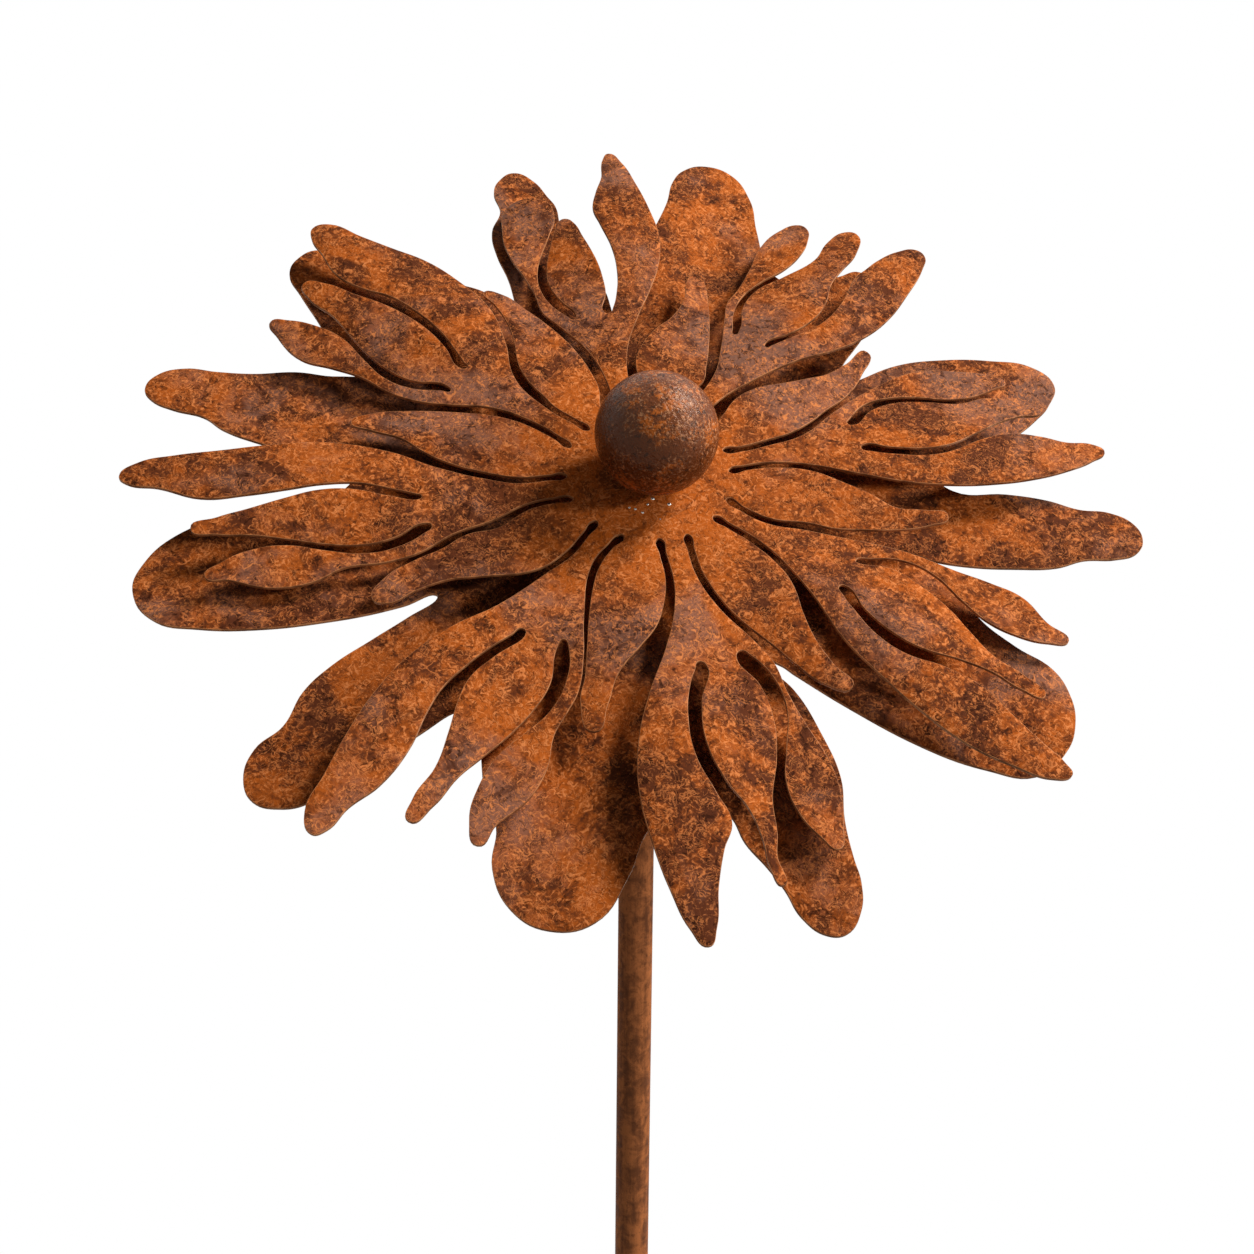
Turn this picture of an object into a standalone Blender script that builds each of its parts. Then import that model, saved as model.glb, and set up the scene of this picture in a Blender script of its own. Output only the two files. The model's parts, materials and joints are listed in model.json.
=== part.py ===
"""A rusted steel wind spinner: two flower plates that turn on one leaning axle at the top of a garden pole.

The origin is on the pole's axis at the soil line, +Z is up and the flower faces -Y.
"""

import math

import bmesh
import bpy
from mathutils import Vector

MM = 0.001

# Clearances
FIT_GAP = 0.3 * MM
SCREW_GAP = 0.3 * MM
MERGE = 0.01 * MM

# Pole and ground fork
POLE_RADIUS = 8.0 * MM
POLE_WALL = 1.5 * MM
POLE_JOINT_HEIGHT = 450.0 * MM
AXIS_HEIGHT = 1000.0 * MM
SPIKE_DEPTH = 200.0 * MM
SPIKE_POINT = 45.0 * MM
SPIKE_IN_TUBE = 70.0 * MM
JOINER_LENGTH = 110.0 * MM
STEP_BAR_SIZE = (130.0 * MM, 22.0 * MM, 5.0 * MM)
STEP_BAR_ROUND = 1.0 * MM
PRONG_RADIUS = 4.0 * MM
PRONG_OFFSET = 55.0 * MM
PRONG_DEPTH = 140.0 * MM
PRONG_POINT = 25.0 * MM
SCREW_RADIUS = 2.5 * MM
SCREW_HEAD_RADIUS = 4.5 * MM
SCREW_HEAD_HEIGHT = 2.6 * MM
SCREW_CROWN_RADIUS = 2.7 * MM
SCREW_CROWN = 0.4 * MM
SCREW_SIDE = 0.8 * MM
SCREW_DEPTH = 4.0 * MM
SPIKE_SCREW_HEIGHT = 40.0 * MM
JOINER_SCREW_OFFSET = 30.0 * MM

# Head: distances along the leaning axis, from the middle of the front sheet
AXIS_TILT = math.radians(45.0)
AXIS_TO_PLATE = 35.3 * MM
SHEET = 1.5 * MM
PLATE_SPACING = 15.0 * MM
AXLE_RADIUS = 4.0 * MM
AXLE_FRONT = 12.0 * MM
AXLE_BACK = -39.3 * MM
BEARING_RADIUS = 8.0 * MM
BEARING_WIDTH = 5.0 * MM
BEARING_RACE_RADIUS = 5.5 * MM
HUB_FLANGE_RADIUS = 28.0 * MM
HUB_FLANGE = 2.0 * MM
HUB_BARREL_RADIUS = 12.0 * MM
HUB_LIP = 1.5 * MM
HUB_LIP_RADIUS = 6.8 * MM
PLATE_HOLE_RADIUS = 7.0 * MM
REAR_WASHER = 2.0 * MM
JAM_NUT_HEIGHT = 4.0 * MM
NUT_ACROSS_FLATS = 13.0 * MM
POLE_CAP = 2.0 * MM
BALL_RADIUS = 25.0 * MM
BALL_WALL = 1.5 * MM
BALL_FOOT_RADIUS = 5.6 * MM
BALL_FOOT = 1.8 * MM
BALL_NUT_HEIGHT = 6.5 * MM
BALL_NUT_GAP = 1.0 * MM

# Front plate: angles in degrees, counter-clockwise as seen from the front
LOBES = 8
FIRST_LOBE_ANGLE = 56.0
FRONT_RISE = 4.0 * MM
FRONT_RISE_START = 45.0 * MM
FRONT_RISE_END = 150.0 * MM

# Rear plate
PETAL_PAIRS = 6
FIRST_WIDE_ANGLE = 76.3
REAR_RISE = 2.5 * MM
REAR_CUP = 3.0 * MM
REAR_RISE_START = 60.0 * MM
REAR_RISE_END = 180.0 * MM

# The maker cut every finger, leaf and petal by hand, so each has its own points: millimetres from the axis,
# to the right and up the plate as seen from the front, in counter-clockwise order round the plate
FRONT_POINTS = (
    # right, middle and left finger and leaf, near 56 degrees
    (
        (24.1, 22.8), (24.6, 26.8), (32.6, 38.3), (49.0, 50.3), (71.9, 62.3), (91.4, 69.3),
        (105.2, 76.8), (118.4, 87.6), (131.0, 103.5), (141.0, 119.3), (143.3, 126.8), (139.7, 130.9),
        (130.2, 129.4), (120.1, 123.7), (112.7, 117.4), (106.8, 111.9), (98.0, 96.3), (89.9, 86.6),
        (80.3, 79.6), (69.4, 74.8), (62.1, 71.5), (59.3, 70.5),
    ),
    (
        (59.3, 73.0), (69.9, 77.5), (82.0, 85.1), (90.0, 95.3), (95.2, 108.6), (101.0, 116.7),
        (110.7, 129.3), (113.4, 142.8), (107.8, 145.0), (98.6, 138.5), (90.3, 126.4), (73.6, 116.2),
        (60.9, 109.2), (52.6, 97.3), (49.3, 83.5),
    ),
    (
        (46.5, 80.2), (46.4, 85.0), (48.0, 93.8), (53.4, 105.0), (63.9, 114.8), (75.9, 122.3),
        (84.8, 131.6), (89.9, 141.3), (91.0, 150.0), (87.6, 153.7), (77.2, 150.0), (67.2, 139.7),
        (59.2, 123.0), (51.9, 109.7), (46.0, 101.2), (43.1, 89.6), (39.2, 71.9), (33.4, 54.1),
        (15.7, 32.9), (12.1, 30.9),
    ),
    (
        (11.4, 34.4), (15.5, 43.8), (27.5, 49.5), (31.3, 60.9), (34.0, 73.7), (36.0, 87.0),
        (37.0, 100.4), (37.0, 112.6), (35.3, 120.8), (28.7, 114.0), (26.1, 102.7), (19.7, 91.0),
        (10.0, 80.9), (3.5, 71.9), (-0.2, 61.9), (2.3, 46.5), (3.0, 36.1),
    ),
    # right, middle and left finger and leaf, near 101 degrees
    (
        (0.9, 33.2), (-1.6, 36.4), (-4.0, 50.1), (-3.2, 69.1), (3.2, 88.7), (10.5, 105.7),
        (16.2, 123.5), (17.7, 140.3), (15.1, 154.8), (9.3, 174.6), (4.0, 188.1), (-1.7, 194.6),
        (-5.0, 190.2), (-6.7, 177.3), (-10.1, 167.1), (-12.2, 156.5), (-9.7, 146.7), (-5.3, 130.1),
        (-4.1, 114.4), (-5.2, 103.6), (-7.6, 94.0), (-9.3, 90.9),
    ),
    (
        (-11.6, 91.3), (-10.2, 103.1), (-10.9, 112.1), (-12.4, 121.0), (-15.0, 130.2), (-18.0, 138.7),
        (-21.5, 148.0), (-24.9, 151.4), (-28.1, 150.8), (-31.1, 143.3), (-34.0, 131.9), (-35.7, 120.3),
        (-34.8, 110.2), (-30.1, 100.2), (-24.4, 91.0),
    ),
    (
        (-25.5, 88.5), (-27.9, 90.4), (-35.1, 98.7), (-39.3, 109.1), (-39.9, 119.8), (-37.6, 130.5),
        (-33.3, 142.7), (-30.3, 154.3), (-35.0, 165.5), (-50.2, 164.6), (-54.8, 144.5), (-52.0, 130.9),
        (-46.4, 117.9), (-41.7, 104.7), (-39.1, 93.7), (-32.1, 84.8), (-20.4, 68.4), (-14.1, 52.0),
        (-12.2, 34.3), (-13.2, 30.4),
    ),
    (
        (-16.3, 32.4), (-17.6, 47.4), (-20.6, 57.1), (-25.0, 67.2), (-30.9, 77.2), (-38.6, 87.1),
        (-46.6, 95.5), (-56.1, 104.1), (-64.9, 104.6), (-60.3, 96.7), (-55.2, 85.3), (-52.7, 72.3),
        (-51.8, 61.0), (-48.2, 51.2), (-41.3, 41.8), (-38.1, 36.8), (-29.7, 29.7), (-23.1, 24.2),
    ),
    # right, middle and left finger and leaf, near 146 degrees
    (
        (-24.0, 23.0), (-30.9, 28.1), (-39.7, 34.8), (-53.2, 51.1), (-56.8, 73.4), (-63.4, 94.9),
        (-76.2, 110.0), (-89.9, 121.0), (-105.6, 128.1), (-119.4, 134.7), (-132.8, 141.5),
        (-140.6, 138.9), (-140.9, 131.4), (-136.3, 122.5), (-129.8, 110.4), (-119.1, 102.5),
        (-105.6, 96.8), (-93.2, 86.6), (-84.3, 76.5), (-78.3, 66.6), (-75.1, 60.7), (-73.5, 58.1),
    ),
    (
        (-75.9, 57.2), (-83.0, 68.7), (-90.0, 77.8), (-98.9, 85.9), (-110.4, 93.6), (-122.0, 99.2),
        (-133.6, 105.3), (-144.2, 106.1), (-141.2, 97.6), (-131.5, 88.7), (-123.8, 78.2),
        (-117.1, 69.0), (-107.7, 59.2), (-96.5, 52.3), (-83.4, 49.5),
    ),
    (
        (-81.1, 46.1), (-85.3, 46.6), (-98.4, 48.8), (-109.1, 54.9), (-117.7, 65.1), (-126.8, 76.7),
        (-137.2, 83.4), (-149.7, 87.4), (-157.9, 87.0), (-154.9, 79.4), (-144.6, 66.6), (-131.2, 61.5),
        (-119.0, 56.0), (-105.9, 46.2), (-93.8, 41.1), (-82.7, 39.0), (-63.2, 36.1), (-46.6, 27.5),
        (-37.7, 20.8), (-31.5, 14.7),
    ),
    (
        (-32.6, 13.7), (-39.0, 19.3), (-48.0, 25.5), (-54.2, 28.5), (-64.3, 32.0), (-75.8, 33.9),
        (-87.1, 35.2), (-99.6, 35.7), (-112.6, 34.4), (-122.5, 28.3), (-114.1, 23.4), (-102.4, 19.0),
        (-90.9, 9.5), (-79.9, 3.9), (-69.2, 0.8), (-54.5, -2.2), (-43.6, -1.3), (-35.0, -0.4),
    ),
    # right, middle and left finger and leaf, near 191 degrees
    (
        (-34.8, -1.9), (-43.3, -3.2), (-54.3, -4.7), (-66.6, -3.3), (-88.8, 2.8), (-106.2, 10.2),
        (-130.3, 14.8), (-153.1, 13.1), (-173.0, 10.0), (-191.2, 7.2), (-205.0, 3.4), (-211.6, -3.4),
        (-208.7, -6.8), (-196.2, -9.1), (-179.9, -13.9), (-162.3, -12.4), (-146.7, -9.8),
        (-133.0, -7.1), (-118.1, -6.3), (-104.1, -9.0), (-96.6, -10.7), (-93.9, -11.7),
    ),
    (
        (-94.7, -13.1), (-107.3, -11.8), (-121.2, -9.2), (-134.0, -9.9), (-147.6, -13.9),
        (-161.6, -18.7), (-173.3, -22.5), (-183.0, -27.3), (-172.0, -29.9), (-159.7, -30.0),
        (-146.2, -31.5), (-131.6, -33.3), (-117.5, -33.5), (-104.3, -30.2), (-93.0, -24.0),
    ),
    (
        (-90.1, -25.0), (-93.6, -28.9), (-103.8, -34.6), (-116.4, -37.3), (-131.0, -36.1),
        (-146.2, -34.1), (-159.5, -36.1), (-171.1, -41.8), (-176.8, -47.7), (-167.7, -49.2),
        (-151.9, -52.5), (-136.1, -49.9), (-124.2, -43.7), (-107.5, -41.3), (-94.8, -37.4),
        (-81.8, -29.4), (-64.8, -22.8), (-52.5, -16.1), (-41.8, -13.0), (-33.2, -12.3),
    ),
    (
        (-33.0, -13.8), (-41.5, -15.0), (-51.6, -18.4), (-63.7, -27.0), (-76.4, -29.9), (-86.2, -36.1),
        (-96.9, -41.0), (-108.5, -48.6), (-113.4, -58.7), (-107.4, -61.6), (-97.0, -56.4),
        (-83.4, -51.8), (-71.8, -51.3), (-49.5, -48.4), (-37.0, -39.5), (-30.1, -31.0), (-24.7, -24.4),
    ),
    # right, middle and left finger and leaf, near 236 degrees
    (
        (-23.5, -25.3), (-28.5, -32.3), (-35.2, -41.2), (-44.8, -49.4), (-65.6, -65.6), (-82.9, -75.1),
        (-98.1, -87.2), (-111.3, -103.2), (-121.6, -120.9), (-129.3, -137.3), (-135.6, -151.5),
        (-133.3, -159.6), (-128.2, -158.4), (-120.8, -150.0), (-109.8, -141.2), (-99.5, -127.2),
        (-92.6, -111.9), (-87.1, -102.5), (-78.1, -92.8), (-68.4, -84.2), (-60.8, -78.7),
        (-56.6, -75.8),
    ),
    (
        (-55.2, -77.4), (-67.5, -88.3), (-77.0, -97.6), (-81.9, -108.0), (-85.4, -119.7),
        (-90.4, -133.6), (-98.7, -146.1), (-100.2, -154.4), (-91.4, -148.4), (-82.3, -137.1),
        (-73.6, -129.3), (-63.6, -120.4), (-53.2, -108.9), (-46.7, -98.0), (-43.5, -83.5),
    ),
    (
        (-40.7, -80.0), (-39.1, -84.1), (-41.0, -98.1), (-47.5, -109.9), (-57.3, -118.9),
        (-67.4, -127.8), (-74.9, -139.7), (-79.0, -154.2), (-76.4, -163.1), (-69.2, -155.1),
        (-57.9, -146.3), (-50.1, -133.9), (-46.6, -120.0), (-42.0, -112.1), (-36.7, -102.8),
        (-33.8, -89.1), (-32.2, -69.4), (-27.4, -46.4), (-20.8, -37.2), (-14.4, -31.3),
    ),
    (
        (-13.4, -32.4), (-19.3, -38.5), (-25.1, -47.4), (-28.3, -58.7), (-30.5, -70.7), (-32.0, -83.1),
        (-33.6, -95.8), (-36.2, -107.6), (-32.0, -120.5), (-26.1, -109.3), (-20.9, -96.0),
        (-11.6, -84.7), (-4.7, -75.9), (-1.1, -67.1), (1.6, -53.4), (0.6, -42.6), (-0.1, -34.0),
    ),
    # right, middle and left finger and leaf, near 281 degrees
    (
        (1.4, -33.8), (2.6, -42.3), (4.1, -53.3), (3.4, -67.2), (-2.0, -85.9), (-10.7, -106.9),
        (-16.9, -128.7), (-18.1, -148.5), (-15.0, -169.6), (-10.9, -186.4), (-5.7, -200.7),
        (-0.1, -207.1), (3.4, -200.8), (6.0, -185.6), (9.8, -171.6), (14.0, -160.6), (9.7, -149.2),
        (3.8, -133.9), (3.0, -116.0), (5.3, -103.7), (8.2, -96.1), (10.0, -92.5),
    ),
    (
        (12.8, -93.9), (8.8, -111.0), (8.8, -130.1), (14.4, -145.0), (20.9, -155.1), (24.4, -167.0),
        (25.7, -178.9), (29.5, -185.1), (29.0, -173.7), (30.4, -165.0), (30.8, -150.8), (35.0, -133.9),
        (36.6, -116.7), (33.3, -101.7), (25.5, -89.2),
    ),
    (
        (27.7, -86.4), (31.7, -88.8), (39.7, -99.6), (42.4, -112.8), (39.6, -128.9), (37.2, -144.0),
        (40.2, -156.1), (47.0, -165.7), (52.9, -170.4), (56.2, -161.6), (57.6, -145.9), (54.7, -131.8),
        (48.7, -118.0), (43.7, -104.7), (40.1, -91.8), (33.5, -82.1), (21.2, -67.1), (14.1, -51.5),
        (12.2, -40.6), (11.6, -32.0),
    ),
    (
        (13.1, -31.8), (14.2, -40.4), (16.6, -51.0), (23.5, -64.7), (30.9, -74.4), (39.9, -83.4),
        (48.2, -92.7), (58.4, -102.3), (68.5, -105.1), (62.8, -94.4), (57.4, -83.1), (54.3, -71.3),
        (52.3, -58.3), (48.7, -49.3), (38.7, -36.2), (30.4, -29.0), (23.9, -23.5),
    ),
    # right, middle and left finger and leaf, near 326 degrees
    (
        (24.8, -22.3), (31.7, -27.5), (40.3, -34.3), (49.4, -44.8), (59.6, -63.3), (67.7, -82.9),
        (80.4, -101.9), (93.2, -118.2), (107.8, -132.4), (123.0, -142.4), (136.6, -148.7),
        (144.6, -147.4), (143.2, -142.5), (137.1, -134.3), (128.3, -122.0), (118.4, -108.1),
        (105.9, -99.3), (91.7, -92.9), (81.8, -83.5), (74.5, -70.3), (71.7, -63.7), (70.7, -59.2),
    ),
    (
        (73.2, -58.4), (79.5, -71.1), (88.7, -82.8), (98.1, -90.0), (113.1, -95.7), (125.0, -101.5),
        (134.1, -109.1), (143.4, -112.5), (137.2, -102.1), (127.4, -93.1), (120.6, -80.4),
        (115.4, -69.2), (106.2, -57.4), (95.4, -48.7), (81.6, -46.2),
    ),
    (
        (80.6, -45.1), (87.6, -43.6), (101.9, -44.5), (113.7, -51.8), (121.9, -63.8), (130.0, -74.8),
        (140.6, -81.9), (152.9, -85.4), (162.4, -84.1), (155.8, -75.3), (148.7, -62.7), (136.7, -55.2),
        (122.1, -48.7), (107.9, -41.9), (96.0, -37.6), (82.7, -34.4), (62.0, -29.7), (46.4, -26.2),
        (36.8, -20.4), (30.6, -14.3),
    ),
    (
        (31.6, -13.2), (38.1, -18.9), (47.4, -23.9), (64.1, -25.9), (74.8, -28.5), (87.0, -29.1),
        (99.2, -29.5), (115.6, -27.8), (123.9, -24.0), (114.0, -20.8), (102.3, -19.1), (91.4, -11.6),
        (82.3, -6.3), (68.6, 0.8), (53.3, 2.9), (42.5, 2.1), (34.2, 0.1),
    ),
    # right, middle and left finger and leaf, near 371 degrees
    (
        (33.8, 1.6), (42.1, 4.0), (53.1, 5.4), (67.7, 4.5), (88.7, -1.5), (107.5, -6.7), (128.3, -9.3),
        (147.0, -9.3), (165.0, -7.0), (181.6, -2.4), (193.3, 2.6), (200.2, 8.1), (196.4, 12.0),
        (183.8, 13.7), (174.4, 17.1), (160.1, 19.3), (146.5, 15.9), (132.4, 9.4), (120.3, 7.1),
        (106.2, 8.4), (96.6, 10.5), (93.0, 11.9),
    ),
    (
        (93.7, 14.5), (105.7, 12.7), (121.3, 11.5), (133.5, 14.0), (146.4, 20.8), (157.0, 26.7),
        (167.2, 30.7), (178.8, 33.7), (170.6, 39.7), (158.2, 43.8), (143.0, 40.6), (129.0, 41.9),
        (115.4, 41.5), (102.3, 36.5), (91.9, 27.2),
    ),
    (
        (89.8, 28.6), (91.5, 31.3), (99.1, 39.4), (109.8, 43.8), (125.2, 45.1), (140.0, 43.6),
        (151.8, 45.4), (162.1, 49.9), (168.2, 53.8), (162.0, 58.6), (147.5, 61.1), (131.3, 61.1),
        (118.7, 57.1), (107.9, 51.0), (97.1, 44.2), (85.3, 35.2), (68.3, 20.9), (52.2, 15.1),
        (41.5, 12.0), (32.9, 11.4),
    ),
    (
        (32.7, 12.9), (41.3, 14.0), (51.2, 17.4), (62.9, 22.1), (72.5, 28.2), (82.1, 36.3),
        (92.5, 44.7), (102.0, 57.7), (106.1, 69.2), (94.7, 61.9), (85.6, 56.0), (74.9, 52.6),
        (63.8, 49.8), (52.2, 47.1), (41.5, 40.6), (34.5, 31.2), (27.6, 23.5),
    ),
)

REAR_POINTS = (
    # wide petal near 76 degrees, and the narrow one after it
    (
        (75.5, 127.0), (71.8, 137.0), (70.3, 163.0), (69.9, 185.2), (62.0, 202.1), (49.4, 205.7),
        (37.3, 200.2), (31.4, 192.0), (26.4, 175.7), (13.3, 145.7), (4.0, 113.9), (-1.0, 98.0),
    ),
    (
        (-4.0, 98.0), (-5.8, 109.0), (-7.8, 120.0), (-13.5, 132.2), (-18.1, 149.4), (-25.3, 161.7),
        (-27.5, 177.3), (-30.9, 183.9), (-37.3, 194.8), (-45.9, 199.8), (-54.4, 192.1), (-57.2, 182.4),
        (-54.7, 169.4), (-59.3, 153.0), (-57.6, 139.1), (-52.8, 124.1), (-49.2, 105.4), (-37.8, 72.3),
        (-27.8, 52.3),
    ),
    # wide petal near 136 degrees, and the narrow one after it
    (
        (-27.7, 47.5), (-32.3, 50.2), (-45.9, 87.7), (-60.9, 113.7), (-75.9, 121.9), (-102.1, 131.0),
        (-122.3, 136.6), (-139.5, 142.9), (-148.2, 135.7), (-151.7, 123.2), (-146.7, 111.0),
        (-139.1, 96.2), (-129.2, 78.0), (-117.6, 68.7),
    ),
    (
        (-116.7, 67.1), (-128.9, 65.4), (-147.6, 68.3), (-166.1, 67.6), (-181.0, 68.7), (-194.2, 70.4),
        (-205.2, 66.3), (-209.7, 57.1), (-206.4, 50.4), (-197.0, 44.8), (-184.4, 40.5), (-175.5, 32.7),
        (-159.1, 24.8), (-136.8, 16.5), (-119.6, 15.7),
    ),
    # wide petal near 196 degrees, and the narrow one after it
    (
        (-119.2, 13.1), (-129.9, -1.3), (-146.7, -7.8), (-173.0, -11.6), (-191.4, -19.5),
        (-202.5, -32.1), (-205.7, -45.9), (-195.3, -61.9), (-179.2, -66.2), (-158.9, -67.3),
        (-131.6, -63.7), (-101.5, -55.1), (-88.9, -49.7),
    ),
    (
        (-88.4, -51.2), (-99.9, -60.3), (-114.9, -71.5), (-128.9, -82.3), (-139.3, -93.5),
        (-146.2, -107.6), (-156.1, -117.0), (-159.5, -129.1), (-155.6, -138.4), (-146.3, -141.8),
        (-136.1, -140.4), (-126.0, -132.2), (-108.3, -123.6), (-95.1, -113.7), (-79.5, -103.6),
        (-69.3, -103.2),
    ),
    # wide petal near 256 degrees, and the narrow one after it
    (
        (-68.7, -105.3), (-73.1, -119.7), (-73.5, -127.7), (-72.2, -140.9), (-69.1, -150.9),
        (-71.1, -167.2), (-65.4, -183.1), (-52.3, -192.4), (-36.3, -191.1), (-23.2, -174.9),
        (-14.8, -157.5), (-7.0, -149.9), (2.0, -140.8),
    ),
    (
        (3.5, -140.1), (12.0, -146.1), (17.3, -150.1), (21.7, -161.3), (28.5, -171.2), (33.6, -180.2),
        (38.3, -191.4), (46.4, -198.7), (53.5, -198.7), (59.4, -191.2), (61.3, -180.7), (60.0, -170.0),
        (59.2, -156.0), (60.7, -138.3), (56.8, -119.1), (49.2, -97.9), (39.8, -85.8),
    ),
    # wide petal near 316 degrees, and the narrow one after it
    (
        (39.5, -84.0), (45.4, -85.7), (51.1, -90.7), (70.9, -106.7), (95.8, -123.4), (120.1, -134.8),
        (138.3, -139.2), (152.2, -130.2), (158.3, -119.0), (159.9, -106.0), (156.2, -92.7),
        (143.6, -81.1), (131.2, -63.8), (129.4, -52.9), (121.6, -42.7), (110.0, -34.8),
    ),
    (
        (111.1, -33.8), (118.3, -36.3), (131.3, -39.3), (153.5, -41.7), (171.3, -42.1), (184.2, -39.1),
        (198.1, -38.9), (208.2, -36.3), (212.3, -30.1), (210.4, -21.6), (201.2, -15.3), (187.5, -13.4),
        (174.8, -8.1), (157.4, -4.0), (134.8, -0.8), (129.1, 10.7),
    ),
    # wide petal near 376 degrees, and the narrow one after it
    (
        (131.3, 13.8), (152.4, 21.7), (172.6, 32.7), (183.4, 41.1), (191.4, 49.3), (195.9, 60.2),
        (186.4, 69.7), (167.1, 72.9), (145.5, 74.1), (123.7, 72.5), (102.2, 63.6), (92.5, 59.6),
    ),
    (
        (91.8, 61.3), (100.5, 77.5), (106.6, 85.7), (113.2, 95.1), (119.9, 109.0), (121.7, 125.2),
        (116.1, 131.2), (105.2, 127.5), (97.6, 124.5), (88.0, 123.5), (79.0, 124.5),
    ),
)

# Fineness of the round pieces and of the sheet outlines
ROUND_STEPS = 24
SMALL_STEPS = 16
OUTLINE_STEPS = 2
BALL_STEPS = 14
BALL_INNER_STEPS = 10


def clear_scene():
    for thing in list(bpy.data.objects):
        bpy.data.objects.remove(thing, do_unlink=True)


def new_collection(name):
    collection = bpy.data.collections.new(name)
    bpy.context.scene.collection.children.link(collection)
    return collection


def new_material(name, colour, roughness, metallic):
    material = bpy.data.materials.new(name)
    material.use_nodes = True
    shader = material.node_tree.nodes["Principled BSDF"]
    shader.inputs["Base Color"].default_value = (*colour, 1.0)
    shader.inputs["Roughness"].default_value = roughness
    shader.inputs["Metallic"].default_value = metallic
    return material


def new_empty(name, parent=None, location=(0.0, 0.0, 0.0), tilt=0.0):
    empty = bpy.data.objects.new(name, None)
    PARTS.objects.link(empty)
    empty.parent = parent
    empty.location = location
    empty.rotation_euler = (tilt, 0.0, 0.0)
    return empty


def place(name, mesh, material, parent=None, location=(0.0, 0.0, 0.0), rotation=(0.0, 0.0, 0.0)):
    thing = bpy.data.objects.new(name, mesh)
    PARTS.objects.link(thing)
    thing.parent = parent
    thing.location = location
    thing.rotation_euler = rotation
    mesh.materials.clear()
    mesh.materials.append(material)
    return thing


def turned(name, profile, material, parent=None, steps=ROUND_STEPS, **placing):
    """A profile of (radius, height) points, down its outer side, turned round Z. A ring's profile closes."""
    ring = min(radius for radius, _ in profile) > 0.0
    mesh = bpy.data.meshes.new(name)
    edges = [(i, i + 1) for i in range(len(profile) - 1)]
    if ring:
        edges.append((len(profile) - 1, 0))
    mesh.from_pydata([(radius, 0.0, height) for radius, height in profile], edges, [])
    thing = place(name, mesh, material, parent, **placing)
    screw = thing.modifiers.new("turn", "SCREW")
    screw.steps = steps
    screw.render_steps = steps
    screw.use_merge_vertices = True
    screw.merge_threshold = MERGE
    screw.use_smooth_shade = True
    return thing


def ring_profile(outer, inner, top, bottom):
    return [(outer, top), (outer, bottom), (inner, bottom), (inner, top)]


def prism(name, radius, height, sides, material, parent, bottom):
    """A prism that stands on the given height, such as a nut's body."""
    shape = bmesh.new()
    bmesh.ops.create_cone(shape, cap_ends=True, segments=sides, radius1=radius, radius2=radius, depth=height)
    bmesh.ops.translate(shape, verts=shape.verts, vec=(0.0, 0.0, bottom + height / 2))
    mesh = bpy.data.meshes.new(name)
    shape.to_mesh(mesh)
    shape.free()
    return place(name, mesh, material, parent)


def box_mesh(name, size, centre):
    shape = bmesh.new()
    bmesh.ops.create_cube(shape, size=1.0)
    bmesh.ops.scale(shape, verts=shape.verts, vec=size)
    bmesh.ops.translate(shape, verts=shape.verts, vec=centre)
    mesh = bpy.data.meshes.new(name)
    shape.to_mesh(mesh)
    shape.free()
    return mesh


def cutter(name, mesh, parent=None, location=(0.0, 0.0, 0.0), rotation=(0.0, 0.0, 0.0)):
    tool = bpy.data.objects.new(name, mesh)
    CUTTERS.objects.link(tool)
    tool.parent = parent
    tool.location = location
    tool.rotation_euler = rotation
    tool.hide_render = True
    tool.display_type = "WIRE"
    return tool


def rod_cutter(name, radius, length, parent=None, location=(0.0, 0.0, 0.0), rotation=(0.0, 0.0, 0.0)):
    shape = bmesh.new()
    bmesh.ops.create_cone(
        shape, cap_ends=True, segments=SMALL_STEPS, radius1=radius, radius2=radius, depth=length
    )
    mesh = bpy.data.meshes.new(name)
    shape.to_mesh(mesh)
    shape.free()
    return cutter(name, mesh, parent, location, rotation)


def cut(thing, tool, operation="DIFFERENCE"):
    boolean = thing.modifiers.new(tool.name, "BOOLEAN")
    boolean.operation = operation
    boolean.object = tool


def ramp(value, start, end):
    """A smooth step from 0 to 1."""
    part = min(max((value - start) / (end - start), 0.0), 1.0)
    return part * part * (3.0 - 2.0 * part)


def joined(pieces):
    """One closed outline from the point lists of its pieces."""
    return [(x * MM, y * MM) for piece in pieces for x, y in piece]


def front_lift(point):
    """Each lobe is pitched: its clockwise side stands forward of its other side."""
    radius = point.to_2d().length
    turn = math.atan2(point.y, point.x) - math.radians(FIRST_LOBE_ANGLE)
    return -FRONT_RISE * ramp(radius, FRONT_RISE_START, FRONT_RISE_END) * math.sin(LOBES * turn)


def rear_lift(point):
    """The petals are pitched the other way, and their tips are cupped forward."""
    radius = point.to_2d().length
    turn = math.atan2(point.y, point.x) - math.radians(FIRST_WIDE_ANGLE)
    pitch = REAR_RISE * math.sin(2 * PETAL_PAIRS * turn)
    return (pitch + REAR_CUP) * ramp(radius, REAR_RISE_START, REAR_RISE_END)


def add_spline(curve, points, steps):
    spline = curve.splines.new("BEZIER")
    spline.use_cyclic_u = True
    spline.resolution_u = steps
    spline.bezier_points.add(len(points) - 1)
    for knot, (x, y) in zip(spline.bezier_points, points):
        knot.co = (x, y, 0.0)
        knot.handle_left_type = "AUTO"
        knot.handle_right_type = "AUTO"


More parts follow.
